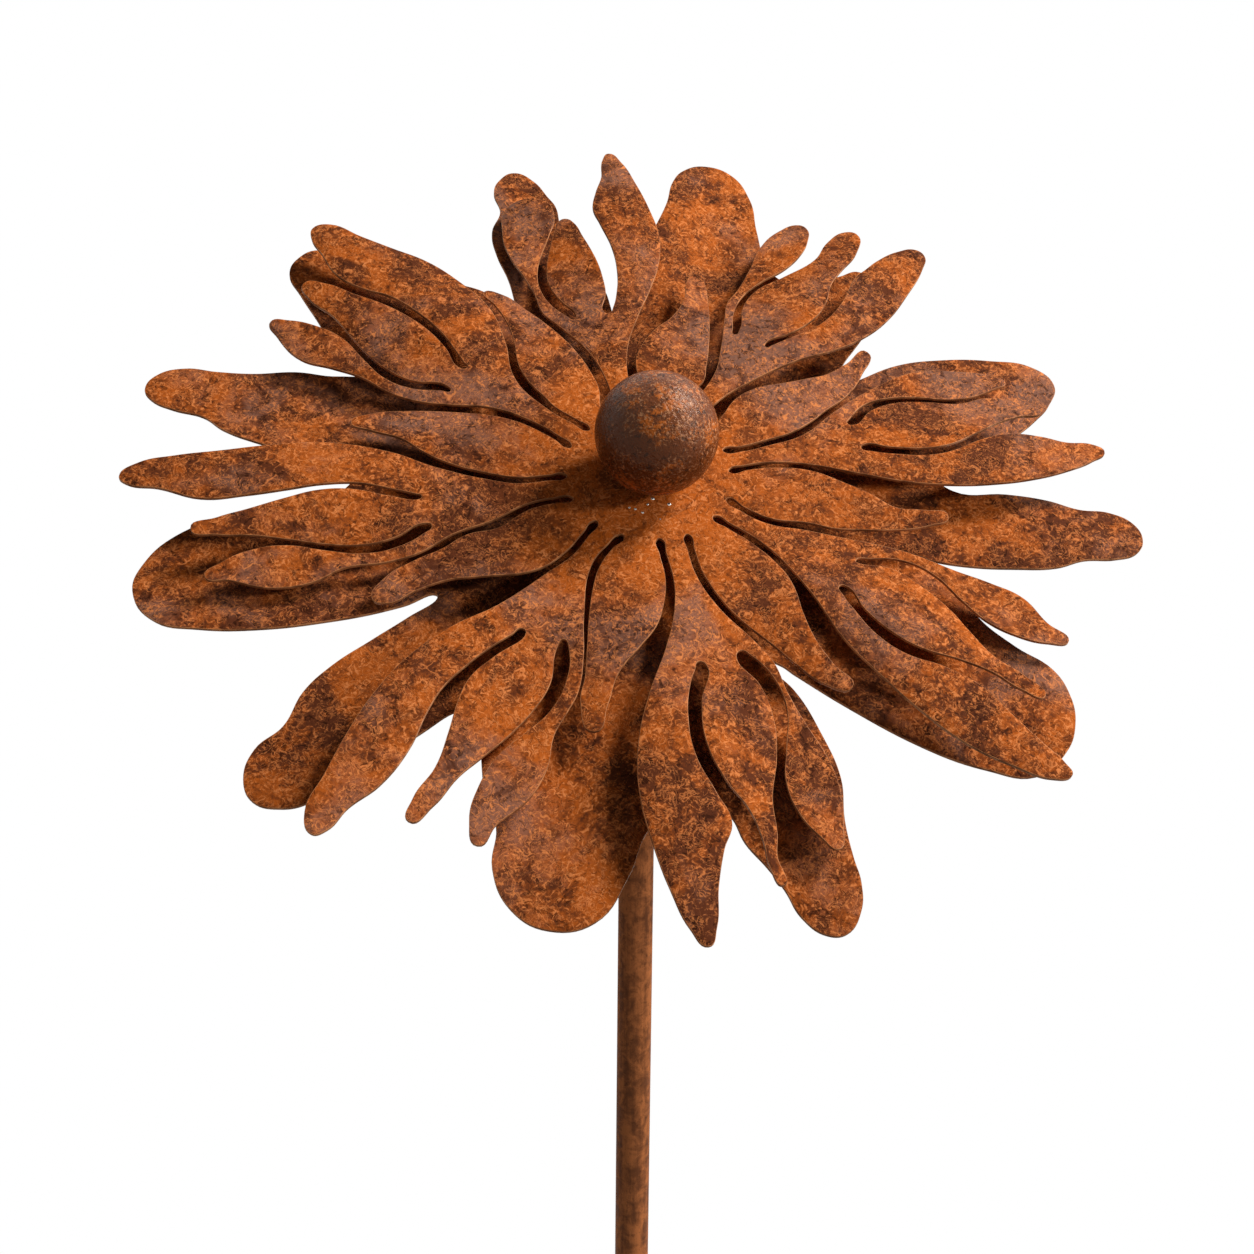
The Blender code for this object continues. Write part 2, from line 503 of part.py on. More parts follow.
def sheet_plate(name, outline, lift, material, parent):
    """A flat cut sheet with a hole for the axle, then bent by lift."""
    curve = bpy.data.curves.new(name + "_outline", "CURVE")
    curve.dimensions = "2D"
    curve.fill_mode = "BOTH"
    curve.extrude = SHEET / 2
    add_spline(curve, outline, OUTLINE_STEPS)
    hole_turns = [2 * math.pi * i / SMALL_STEPS for i in range(SMALL_STEPS)]
    hole = [(PLATE_HOLE_RADIUS * math.cos(t), PLATE_HOLE_RADIUS * math.sin(t)) for t in hole_turns]
    add_spline(curve, hole, 1)
    guide = bpy.data.objects.new(name + "_outline", curve)
    CUTTERS.objects.link(guide)
    graph = bpy.context.evaluated_depsgraph_get()
    mesh = bpy.data.meshes.new_from_object(guide.evaluated_get(graph))
    bpy.data.objects.remove(guide, do_unlink=True)
    shape = bmesh.new()
    shape.from_mesh(mesh)
    bmesh.ops.remove_doubles(shape, verts=shape.verts, dist=MERGE)
    flat = [face for face in shape.faces if abs(face.normal.z) > 0.5]
    inner = [edge for edge in shape.edges if all(face in flat for face in edge.link_faces)]
    bmesh.ops.beautify_fill(shape, faces=flat, edges=inner)
    for vert in shape.verts:
        vert.co.z += lift(vert.co)
    bmesh.ops.recalc_face_normals(shape, faces=shape.faces)
    shape.to_mesh(mesh)
    shape.free()
    mesh.name = name
    return place(name, mesh, material, parent)


def hub(name, material, parent):
    """A flanged hub behind its sheet, with a lip that keeps its bearing from sliding out."""
    top = -SHEET / 2 - FIT_GAP
    bore = BEARING_RADIUS + FIT_GAP
    lip_top = top - FIT_GAP - BEARING_WIDTH - FIT_GAP
    bottom = lip_top - HUB_LIP
    profile = [
        (HUB_FLANGE_RADIUS, top),
        (HUB_FLANGE_RADIUS, top - HUB_FLANGE),
        (HUB_BARREL_RADIUS, top - HUB_FLANGE),
        (HUB_BARREL_RADIUS, bottom),
        (HUB_LIP_RADIUS, bottom),
        (HUB_LIP_RADIUS, lip_top),
        (bore, lip_top),
        (bore, top),
    ]
    return turned(name, profile, material, parent)


def bearing_top():
    return -SHEET / 2 - 2 * FIT_GAP


def bearing_outer(name, parent):
    """The outer ring with its shields."""
    top = bearing_top()
    inner = BEARING_RACE_RADIUS + FIT_GAP
    return turned(name, ring_profile(BEARING_RADIUS, inner, top, top - BEARING_WIDTH), STEEL, parent)


def bearing_inner(name, parent, offset):
    top = offset + bearing_top()
    inner = AXLE_RADIUS + FIT_GAP
    return turned(
        name, ring_profile(BEARING_RACE_RADIUS, inner, top, top - BEARING_WIDTH), STEEL, parent
    )


def axle_sleeve(name, top, bottom, material):
    profile = ring_profile(BEARING_RACE_RADIUS, AXLE_RADIUS + FIT_GAP, top, bottom)
    return turned(name, profile, material, HEAD)


def nut(name, height, bottom, material):
    radius = NUT_ACROSS_FLATS / 2 / math.cos(math.pi / 6)
    thing = prism(name, radius, height, 6, material, HEAD, bottom)
    middle = (0.0, 0.0, bottom + height / 2)
    cut(thing, rod_cutter(name + "_bore", AXLE_RADIUS + FIT_GAP, 2 * height, HEAD, middle))
    return thing


def centre_ball():
    """A hollow ball with a flat foot and a bore for the axle."""
    centre = BALL_FOOT + math.sqrt(BALL_RADIUS**2 - BALL_FOOT_RADIUS**2)
    inner_radius = BALL_RADIUS - BALL_WALL
    bore = AXLE_RADIUS + FIT_GAP
    outer_end = math.pi - math.asin(BALL_FOOT_RADIUS / BALL_RADIUS)
    inner_end = math.pi - math.asin(bore / inner_radius)
    profile = []
    for i in range(BALL_STEPS + 1):
        turn = outer_end * i / BALL_STEPS
        profile.append((BALL_RADIUS * math.sin(turn), centre + BALL_RADIUS * math.cos(turn)))
    profile.append((bore, BALL_FOOT))
    for i in range(BALL_INNER_STEPS + 1):
        turn = inner_end * (1 - i / BALL_INNER_STEPS)
        profile.append((inner_radius * math.sin(turn), centre + inner_radius * math.cos(turn)))
    profile[0] = (0.0, centre + BALL_RADIUS)
    profile[-1] = (0.0, centre + inner_radius)
    return turned("centre_ball", profile, RUST_BALL, HEAD)


def ball_nut():
    centre = BALL_FOOT + math.sqrt(BALL_RADIUS**2 - BALL_FOOT_RADIUS**2)
    corner = NUT_ACROSS_FLATS / 2 / math.cos(math.pi / 6)
    seat = centre - math.sqrt((BALL_RADIUS - BALL_WALL) ** 2 - corner**2)
    return nut("ball_nut", BALL_NUT_HEIGHT, seat + BALL_NUT_GAP, ZINC)


def pointed_rod(name, radius, top, bottom, point, x=0.0):
    profile = [(0.0, top), (radius, top), (radius, bottom + point), (0.0, bottom)]
    return turned(name, profile, RUST_POLE, steps=SMALL_STEPS, location=(x, 0.0, 0.0))


def pole_screw(name, height, pieces):
    """A round-headed screw at the back of the pole, through the tube and into the rod inside it."""
    head_base = POLE_RADIUS + FIT_GAP
    head_top = head_base + SCREW_HEAD_HEIGHT
    bottom = POLE_RADIUS - POLE_WALL - SCREW_DEPTH
    profile = [
        (0.0, head_top),
        (SCREW_CROWN_RADIUS, head_top - SCREW_CROWN),
        (SCREW_HEAD_RADIUS, head_base + SCREW_SIDE),
        (SCREW_HEAD_RADIUS, head_base),
        (SCREW_RADIUS, head_base),
        (SCREW_RADIUS, bottom),
        (0.0, bottom),
    ]
    backwards = (-math.pi / 2, 0.0, 0.0)
    middle = (0.0, 0.0, height)
    screw = turned(name, profile, ZINC, steps=SMALL_STEPS, location=middle, rotation=backwards)
    depth = POLE_RADIUS + FIT_GAP - bottom + FIT_GAP
    hole_middle = (0.0, bottom - FIT_GAP + depth / 2, height)
    hole = rod_cutter(name + "_hole", SCREW_RADIUS + SCREW_GAP, depth, None, hole_middle, backwards)
    for piece in pieces:
        cut(piece, hole)
    return screw


def ground_fork():
    rod_radius = POLE_RADIUS - POLE_WALL - FIT_GAP
    spike = pointed_rod("ground_spike", rod_radius, SPIKE_IN_TUBE, -SPIKE_DEPTH, SPIKE_POINT)
    height = STEP_BAR_SIZE[2]
    bar = place("step_bar", box_mesh("step_bar", STEP_BAR_SIZE, (0.0, 0.0, -height / 2)), RUST_POLE)
    bevel = bar.modifiers.new("round", "BEVEL")
    bevel.width = STEP_BAR_ROUND
    bevel.segments = 2
    cut(bar, rod_cutter("step_bar_hole", rod_radius + FIT_GAP, 4 * height))
    top = -height - FIT_GAP
    pointed_rod("side_prong_left", PRONG_RADIUS, top, -PRONG_DEPTH, PRONG_POINT, -PRONG_OFFSET)
    pointed_rod("side_prong_right", PRONG_RADIUS, top, -PRONG_DEPTH, PRONG_POINT, PRONG_OFFSET)
    return spike


def pole(spike):
    """Two tubes on a joiner rod. The upper tube's top is cut square to the leaning axis and capped."""
    bore = POLE_RADIUS - POLE_WALL
    rod_radius = bore - FIT_GAP
    seam = POLE_JOINT_HEIGHT
    lower = turned("lower_pole", ring_profile(POLE_RADIUS, bore, seam - FIT_GAP / 2, FIT_GAP), RUST_POLE)
    joiner_top = seam + JOINER_LENGTH / 2
    joiner_bottom = seam - JOINER_LENGTH / 2
    joiner_profile = [
        (0.0, joiner_top), (rod_radius, joiner_top), (rod_radius, joiner_bottom), (0.0, joiner_bottom)
    ]
    joiner = turned("pole_joiner", joiner_profile, RUST_POLE)

    long_top = AXIS_HEIGHT + 4 * POLE_RADIUS
    upper = turned("upper_pole", ring_profile(POLE_RADIUS, bore, long_top, seam + FIT_GAP / 2), RUST_POLE)
    cap_top = rear_washer_bottom() - FIT_GAP - JAM_NUT_HEIGHT - FIT_GAP
    cap_bottom = cap_top - POLE_CAP
    block = 8 * POLE_RADIUS
    above = box_mesh("pole_top_cut", (block,) * 3, (0.0, 0.0, cap_bottom - FIT_GAP + block / 2))
    cut(upper, cutter("pole_top_cut", above, HEAD))

    cap_profile = [(0.0, long_top), (POLE_RADIUS, long_top), (POLE_RADIUS, seam), (0.0, seam)]
    cap = turned("pole_cap", cap_profile, RUST_POLE)
    slab = box_mesh("pole_cap_slab", (block, block, POLE_CAP), (0.0, 0.0, cap_top - POLE_CAP / 2))
    cut(cap, cutter("pole_cap_slab", slab, HEAD), "INTERSECT")
    cap_middle = (0.0, 0.0, cap_top - POLE_CAP / 2)
    cut(cap, rod_cutter("pole_cap_hole", AXLE_RADIUS + FIT_GAP, 4 * POLE_CAP, HEAD, cap_middle))

    pole_screw("spike_screw", SPIKE_SCREW_HEIGHT, [lower, spike])
    pole_screw("joiner_screw_lower", seam - JOINER_SCREW_OFFSET, [lower, joiner])
    pole_screw("joiner_screw_upper", seam + JOINER_SCREW_OFFSET, [upper, joiner])


def rear_washer_bottom():
    return -PLATE_SPACING + bearing_top() - BEARING_WIDTH - FIT_GAP - REAR_WASHER


def axle_stack():
    """Everything that is clamped on the axle and stays still, from the pole's cap to the ball."""
    axle_profile = [(0.0, AXLE_FRONT), (AXLE_RADIUS, AXLE_FRONT), (AXLE_RADIUS, AXLE_BACK), (0.0, AXLE_BACK)]
    turned("axle", axle_profile, ZINC, HEAD)
    washer_bottom = rear_washer_bottom()
    nut("jam_nut", JAM_NUT_HEIGHT, washer_bottom - FIT_GAP - JAM_NUT_HEIGHT, ZINC)
    axle_sleeve("rear_washer", washer_bottom + REAR_WASHER, washer_bottom, ZINC)
    bearing_inner("rear_bearing_inner", HEAD, -PLATE_SPACING)
    spacer_top = bearing_top() - BEARING_WIDTH - FIT_GAP
    axle_sleeve("bearing_spacer", spacer_top, -PLATE_SPACING + bearing_top() + FIT_GAP, ZINC)
    bearing_inner("front_bearing_inner", HEAD, 0.0)
    axle_sleeve("seat_spacer", BALL_FOOT - FIT_GAP, bearing_top() + FIT_GAP, ZINC)
    centre_ball()
    ball_nut()


def rotors():
    hub("rear_hub", RUST_SHEET, REAR_ROTOR)
    bearing_outer("rear_bearing_outer", REAR_ROTOR)
    sheet_plate("rear_petal_plate", joined(REAR_POINTS), rear_lift, RUST_SHEET, REAR_ROTOR)
    hub("front_hub", RUST_SHEET, FRONT_ROTOR)
    bearing_outer("front_bearing_outer", FRONT_ROTOR)
    sheet_plate("front_flower_plate", joined(FRONT_POINTS), front_lift, RUST_SHEET, FRONT_ROTOR)


clear_scene()
PARTS = new_collection("wind_spinner")
CUTTERS = new_collection("cutters")

RUST_SHEET = new_material("rust_sheet", (0.27, 0.10, 0.035), 0.8, 0.2)
RUST_BALL = new_material("rust_ball", (0.13, 0.045, 0.022), 0.5, 0.3)
RUST_POLE = new_material("rust_pole", (0.20, 0.075, 0.028), 0.65, 0.2)
STEEL = new_material("bearing_steel", (0.5, 0.5, 0.5), 0.3, 1.0)
ZINC = new_material("zinc_steel", (0.45, 0.45, 0.46), 0.4, 1.0)

# The head's own Z is the leaning axis, and its zero is the middle of the front sheet
AXIS = Vector((0.0, -math.sin(AXIS_TILT), math.cos(AXIS_TILT)))
HEAD = new_empty("head", None, Vector((0.0, 0.0, AXIS_HEIGHT)) + AXIS * AXIS_TO_PLATE, AXIS_TILT)
FRONT_ROTOR = new_empty("front_rotor", HEAD)
REAR_ROTOR = new_empty("rear_rotor", HEAD, (0.0, 0.0, -PLATE_SPACING))

bpy.context.view_layer.update()
pole(ground_fork())
axle_stack()
rotors()
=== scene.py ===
# %% [markdown]
# # A rusted wind spinner
# The object is a steel flower on a garden pole. A ball sits in the middle of two cut sheets, which turn
# on one leaning axle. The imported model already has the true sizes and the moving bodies, so this script
# loads it as a fixed frame and only adds the looks: finer pieces, rust, light and a camera.

import json
import math

import bmesh
import bpy
from mathutils import Matrix, Vector, noise

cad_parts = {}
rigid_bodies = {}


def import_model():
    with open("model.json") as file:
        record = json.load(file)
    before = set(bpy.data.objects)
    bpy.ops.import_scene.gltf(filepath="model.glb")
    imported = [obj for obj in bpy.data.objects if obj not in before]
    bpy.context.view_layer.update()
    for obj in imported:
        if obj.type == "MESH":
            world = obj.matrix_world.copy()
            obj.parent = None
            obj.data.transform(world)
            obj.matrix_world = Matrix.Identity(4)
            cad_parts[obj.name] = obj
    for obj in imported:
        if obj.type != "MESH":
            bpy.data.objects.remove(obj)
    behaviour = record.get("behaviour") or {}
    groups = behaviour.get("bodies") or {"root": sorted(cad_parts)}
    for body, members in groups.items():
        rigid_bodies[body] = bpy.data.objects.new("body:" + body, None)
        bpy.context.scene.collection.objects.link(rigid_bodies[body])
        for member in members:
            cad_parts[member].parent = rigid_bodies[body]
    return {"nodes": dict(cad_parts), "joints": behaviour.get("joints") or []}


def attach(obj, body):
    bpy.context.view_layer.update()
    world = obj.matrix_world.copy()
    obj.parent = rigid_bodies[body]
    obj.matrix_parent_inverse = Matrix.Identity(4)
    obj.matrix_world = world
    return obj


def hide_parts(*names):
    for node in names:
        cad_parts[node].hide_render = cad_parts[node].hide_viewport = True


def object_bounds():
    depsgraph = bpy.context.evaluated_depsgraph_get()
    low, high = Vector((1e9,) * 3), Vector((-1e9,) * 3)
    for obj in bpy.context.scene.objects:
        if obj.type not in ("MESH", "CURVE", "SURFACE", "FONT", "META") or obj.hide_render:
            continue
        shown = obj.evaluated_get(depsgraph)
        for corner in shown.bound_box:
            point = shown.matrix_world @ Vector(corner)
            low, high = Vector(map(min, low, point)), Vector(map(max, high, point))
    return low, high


for startup_object in list(bpy.data.objects):
    bpy.data.objects.remove(startup_object, do_unlink=True)
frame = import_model()
cad_low, cad_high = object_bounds()
scene = bpy.context.scene
print("CAD box in metres:", [round(value, 4) for value in cad_high - cad_low])

# %% [markdown]
# ## The leaning head
# Both sheets turn on one axis, which leans back 45 degrees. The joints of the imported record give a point
# on it for each sheet. A matrix that leans the same way lets every piece of the head be modelled flat,
# round the Z axis, and be put in place at the end.

# %% The head's matrices
MM = 0.001
LEAN = math.radians(45.0)
joint_points = {joint["child"]: Vector(joint["pos_m"]) for joint in frame["joints"]}
front_centre = joint_points["front_rotor"]
axis = Vector((0.0, -math.sin(LEAN), math.cos(LEAN)))
front_place = Matrix.Translation(front_centre) @ Matrix.Rotation(LEAN, 4, "X")
rear_place = Matrix.Translation(joint_points["rear_rotor"]) @ Matrix.Rotation(LEAN, 4, "X")
print("distance between the sheets in mm:", round((front_centre - joint_points["rear_rotor"]).length / MM, 2))

# %% [markdown]
# ## The camera
# The picture looks at the flower from a little above and a little from the left. The three axes
# of the camera come from its azimuth, its elevation and a very small roll, and its place from where the
# middle of the front sheet lies in the picture. Depth of field stays off.

# %% Camera
AZIMUTH = math.radians(-7.76)
ELEVATION = math.radians(12.14)
ROLL = math.radians(-0.58)
FOCAL_PIXELS = 1465.0
IMAGE_PIXELS = 1254.0
SENSOR_WIDTH = 36.0
CENTRE_IN_VIEW = Vector((9.29, 63.53, 609.0)) * MM

level_right = Vector((math.cos(AZIMUTH), math.sin(AZIMUTH), 0.0))
ahead = Vector((
    -math.sin(AZIMUTH) * math.cos(ELEVATION),
    math.cos(AZIMUTH) * math.cos(ELEVATION),
    -math.sin(ELEVATION),
))
level_up = level_right.cross(ahead)
view_right = math.cos(ROLL) * level_right - math.sin(ROLL) * level_up
view_up = math.sin(ROLL) * level_right + math.cos(ROLL) * level_up
camera_data = bpy.data.cameras.new("camera")
camera_data.sensor_width = SENSOR_WIDTH
camera_data.lens = SENSOR_WIDTH * FOCAL_PIXELS / IMAGE_PIXELS
camera = bpy.data.objects.new("camera", camera_data)
turned_axes = Matrix((view_right, view_up, -ahead)).transposed()
offset = view_right * CENTRE_IN_VIEW.x + view_up * CENTRE_IN_VIEW.y + ahead * CENTRE_IN_VIEW.z
camera.matrix_world = Matrix.Translation(front_centre - offset) @ turned_axes.to_4x4()
scene.collection.objects.link(camera)
scene.camera = camera
print("camera at", [round(value, 3) for value in camera.location], "lens", round(camera_data.lens, 2))

# %% [markdown]
# ## Writing shader maths as Python
# A rust finish mixes many masks, and a long chain of Math nodes is hard to read. One small class wraps a
# socket, so that sums and products of masks can be written as plain expressions. A second class holds a
# node tree, and its method node makes any node from its type, its settings and its sockets. A third is one
# material, with short methods for the few patterns that the finishes share.

# %% Value: a socket with operators
class Value:
    """A number that varies over a surface. An expression on it adds Math nodes."""

    def __init__(self, nodes, socket):
        self.nodes = nodes
        self.socket = socket

    def math(self, operation, first, second):
        made = self.nodes.node("ShaderNodeMath", {"operation": operation}, {0: first, 1: second})
        return Value(self.nodes, made.outputs[0])

    def __add__(self, other):
        return self.math("ADD", self, other)

    def __radd__(self, other):
        return self.math("ADD", other, self)

    def __sub__(self, other):
        return self.math("SUBTRACT", self, other)

    def __rsub__(self, other):
        return self.math("SUBTRACT", other, self)

    def __mul__(self, other):
        return self.math("MULTIPLY", self, other)

    def __rmul__(self, other):
        return self.math("MULTIPLY", other, self)


# %% Nodes: any node tree
class Nodes:
    """A node tree. A socket takes a Value, another socket or a plain number or colour."""

    def __init__(self, tree):
        self.tree = tree

    def node(self, kind, settings=None, sockets=None):
        made = self.tree.nodes.new(kind)
        for name, value in (settings or {}).items():
            setattr(made, name, value)
        for name, value in (sockets or {}).items():
            self.feed(made.inputs[name], value)
        return made

    def feed(self, socket, value):
        if isinstance(value, Value):
            self.tree.links.new(value.socket, socket)
        elif isinstance(value, bpy.types.NodeSocket):
            self.tree.links.new(value, socket)
        else:
            socket.default_value = value


# %% Finish: one material
NOISE_MEAN = 0.5


class Finish(Nodes):
    """A material whose patterns lie on Object coordinates, in metres."""

    def __init__(self, name):
        self.material = bpy.data.materials.new(name)
        self.material.use_nodes = True
        super().__init__(self.material.node_tree)
        self.shader = self.tree.nodes["Principled BSDF"]
        self.place = self.node("ShaderNodeTexCoord").outputs["Object"]

    def moved(self, shift, stretch=(1.0, 1.0, 1.0)):
        """The Object coordinates, shifted to another part of a pattern and stretched."""
        made = self.node("ShaderNodeMapping", None, {
            "Vector": self.place, "Location": shift, "Scale": stretch,
        })
        return made.outputs["Vector"]

    def clouds(self, size, detail=4.0, roughness=0.6, swirl=0.0, shift=0.0, stretch=(1.0, 1.0, 1.0)):
        """Soft patches about as wide as size, in metres. Their values lie around NOISE_MEAN."""
        made = self.node("ShaderNodeTexNoise", None, {
            "Vector": self.moved((shift, shift * 0.7, -shift), stretch),
            "Scale": 1.0 / size, "Detail": detail, "Roughness": roughness, "Distortion": swirl,
        })
        return Value(self, made.outputs["Fac"])

    def step(self, value, low, high):
        """A soft step from 0 at low to 1 at high, or down if low is above high."""
        made = self.node("ShaderNodeMapRange", {"interpolation_type": "SMOOTHSTEP"}, {
            "Value": value, "From Min": min(low, high), "From Max": max(low, high),
            "To Min": float(low > high), "To Max": float(low < high),
        })
        return Value(self, made.outputs["Result"])

    def curls(self, size, width, swirl, shift):
        """Thin curling lines, where a swirled noise passes its mean. The width is a share of its range."""
        offset = self.clouds(size, detail=2.0, roughness=0.5, swirl=swirl, shift=shift) - NOISE_MEAN
        return self.step(offset * offset, width * width, 0.0)

    def blend(self, mask, first, second):
        """The first colour where the mask is 0 and the second where it is 1."""
        made = self.node("ShaderNodeMix", {"data_type": "RGBA"}, {0: mask, 6: first, 7: second})
        return made.outputs[2]

    def bump(self, height, strength, depth):
        """The normal of a surface whose relief is depth metres where the height goes from 0 to 1."""
        made = self.node("ShaderNodeBump", None, {
            "Height": height, "Strength": strength, "Distance": depth,
        })
        return made.outputs["Normal"]

    def paint(self, sockets):
        """Feeds the shader's own sockets."""
        for name, value in sockets.items():
            self.feed(self.shader.inputs[name], value)
        print("finish", self.material.name, "has", len(self.tree.nodes), "nodes")


# %% [markdown]
# ## Rust on the cut sheets
# The sheets have rusted outdoors: brown patches a few centimetres wide lie over orange, with darker stains,
# small dark pits, and greyer areas where the rust is dusty. Thin light curls and flecks of one or two
# millimetres lie on top. Round the ball the rust is fresh and bright. Each of those is one noise at its own
# scale, turned into a mask and mixed in from the broadest to the finest. In these recipes a factor is the
# share of a pattern, and the two numbers of a step say where its mask starts and where it is full. Rust
# scatters light like a stone, so it is rough and hardly reflects, and the flecks, curls and pits also drive
# the bump.

# %% Finish of the sheets
RUST_BROWN = (0.108, 0.028, 0.010, 1.0)
RUST_ORANGE = (0.45, 0.098, 0.012, 1.0)
RUST_CURL = (0.74, 0.235, 0.068, 1.0)
RUST_STAIN = (0.070, 0.018, 0.007, 1.0)
RUST_DARK = (0.026, 0.006, 0.002, 1.0)
RUST_DUST = (0.25, 0.118, 0.078, 1.0)
RUST_FRESH = (0.52, 0.110, 0.009, 1.0)
FRESH_WITHIN = 22.0 * MM
FRESH_REACH = 80.0 * MM


def sheet_rust():
    rust = Finish("rust_sheet")
    broad = rust.clouds(44.0 * MM, detail=6.0, roughness=0.64, swirl=1.0)
    mottle = rust.clouds(8.0 * MM, detail=6.0, roughness=0.70, swirl=0.8, shift=0.31)
    flakes = rust.clouds(3.4 * MM, detail=4.0, roughness=0.60, swirl=1.8, shift=0.77)
    spots = rust.clouds(4.2 * MM, detail=4.0, roughness=0.60, swirl=1.4, shift=1.93)
    grit = rust.clouds(1.5 * MM, detail=3.0, roughness=0.6, swirl=0.6, shift=2.41)
    dusty = rust.clouds(58.0 * MM, detail=4.0, roughness=0.55, swirl=0.5, shift=3.17)
    reach = rust.node("ShaderNodeVectorMath", {"operation": "DISTANCE"}, {
        0: rust.place, 1: front_centre,
    })
    near = rust.step(Value(rust, reach.outputs["Value"]), FRESH_REACH, FRESH_WITHIN)
    orange = rust.step(0.54 * broad + 0.26 * mottle + 0.20 * flakes + 0.06 * near, 0.44, 0.57)
    colour = rust.blend(orange, RUST_BROWN, RUST_ORANGE)
    colour = rust.blend(0.30 * near, colour, RUST_FRESH)
    dust = rust.step(0.75 * dusty + 0.25 * mottle - 0.2 * near, 0.48, 0.62)
    colour = rust.blend(0.75 * dust, colour, RUST_DUST)
    stains = rust.step(rust.clouds(24.0 * MM, detail=6.0, roughness=0.68, swirl=1.4, shift=5.2), 0.51, 0.64)
    colour = rust.blend(0.70 * stains, colour, RUST_STAIN)
    pits = rust.step(spots, 0.53, 0.64) * (0.80 - 0.35 * orange)
    colour = rust.blend(pits, colour, RUST_DARK)
    colour = rust.blend(0.35 * rust.step(grit, 0.50, 0.64), colour, RUST_STAIN)
    curls = rust.curls(4.6 * MM, width=0.045, swirl=2.4, shift=6.4) * rust.step(mottle, 0.40, 0.54)
    colour = rust.blend(0.50 * curls, colour, RUST_CURL)
    flecks = rust.step(flakes, 0.55, 0.63) * (0.28 + 0.55 * orange)
    colour = rust.blend(flecks, colour, RUST_CURL)
    height = 0.4 * flakes + 0.3 * grit + 0.3 * mottle + 0.15 * curls - 0.5 * pits
    rust.paint({
        "Base Color": colour,
        "Roughness": 0.62 + 0.22 * mottle,
        "Specular IOR Level": 0.03,
        "Normal": rust.bump(height, strength=0.6, depth=0.5 * MM),
    })
    return rust


rust_sheet = sheet_rust()

# %% [markdown]
# The cut edges were sheared or burnt through, so they are smoother than the faces and catch the light as thin
# pale lines.
# They get a finish of their own: tan scale with brown stains, where the tan is painted paler than the scale
# itself, as a painted highlight along every rim.

# %% Finish of the cut edges
# The tan of the edges is partly their scale and partly a painted highlight: it is paler than the scale, so
# every rim shows a pale line under any lamp.
EDGE_TAN_AND_HIGHLIGHT = (0.56, 0.225, 0.085, 1.0)
EDGE_BROWN = (0.16, 0.052, 0.018, 1.0)


def edge_rust_and_highlight():
    rust = Finish("rust_edge_and_highlight")
    stain = rust.step(rust.clouds(9.0 * MM, detail=4.0, roughness=0.62, swirl=0.5, shift=0.5), 0.40, 0.60)
    scale = rust.clouds(1.1 * MM, detail=3.0, roughness=0.6, swirl=0.0, shift=1.1)
    rust.paint({
        # The tan mixed in here carries the painted rim highlight as well as the tan scale; the brown stains
        # are real.
        "Base Color": rust.blend(0.75 * stain, EDGE_TAN_AND_HIGHLIGHT, EDGE_BROWN),
        "Roughness": 0.42 + 0.25 * stain,
        "Specular IOR Level": 0.1,
        "Normal": rust.bump(scale, strength=0.3, depth=0.2 * MM),
    })
    return rust


rust_edge_and_highlight = edge_rust_and_highlight()

# %% [markdown]
# ## Rust on the ball and on the pole
# The ball is darker and smoother than the sheets. Its brown skin has orange patches, worn tan specks and dark
# spots, and a fine orange-peel surface that breaks up the highlight. Its gloss is tinted, or the white
# surround would turn its shaded side grey. The pole is a drawn tube: its rust is quieter and runs along it in
# faint streaks, which a stretched noise gives, and earth clings to it below the soil line.

# %% Finish of the ball
BALL_BROWN = (0.145, 0.036, 0.008, 1.0)
BALL_ORANGE = (0.50, 0.120, 0.014, 1.0)
BALL_TAN = (0.62, 0.275, 0.125, 1.0)
BALL_GLOSS = (1.0, 0.76, 0.60, 1.0)


def ball_rust():
    rust = Finish("rust_ball")
    broad = rust.clouds(13.0 * MM, detail=5.0, roughness=0.64, swirl=0.8, shift=0.2)
    peel = rust.clouds(1.9 * MM, detail=3.0, roughness=0.58, swirl=0.5, shift=0.9)
    grit = rust.clouds(0.7 * MM, detail=2.0, roughness=0.5, swirl=0.0, shift=1.7)
    orange = 0.85 * rust.step(0.65 * broad + 0.35 * peel, 0.50, 0.61)
    dark = rust.step(rust.clouds(2.6 * MM, detail=3.0, roughness=0.6, swirl=0.8, shift=2.9), 0.54, 0.66)
    specks = rust.step(rust.clouds(1.3 * MM, detail=3.0, roughness=0.6, swirl=0.6, shift=4.3), 0.53, 0.62)
    worn = specks * rust.step(broad, 0.36, 0.54)
    colour = rust.blend(orange, BALL_BROWN, BALL_ORANGE)
    colour = rust.blend(0.7 * worn, colour, BALL_TAN)
    colour = rust.blend(0.8 * dark, colour, RUST_DARK)
    rust.paint({
        "Base Color": colour,
        "Roughness": 0.27 + 0.16 * orange,
        "Specular IOR Level": 0.25,
        "Specular Tint": BALL_GLOSS,
        "Normal": rust.bump(0.75 * peel + 0.25 * grit, strength=0.75, depth=0.9 * MM),
    })
    return rust


rust_ball = ball_rust()

# %% Finish of the pole
POLE_BROWN = (0.190, 0.063, 0.023, 1.0)
POLE_ORANGE = (0.60, 0.198, 0.062, 1.0)
EARTH = (0.115, 0.080, 0.055, 1.0)
CLEAN_ABOVE = 12.0 * MM
EARTHY_BELOW = -30.0 * MM


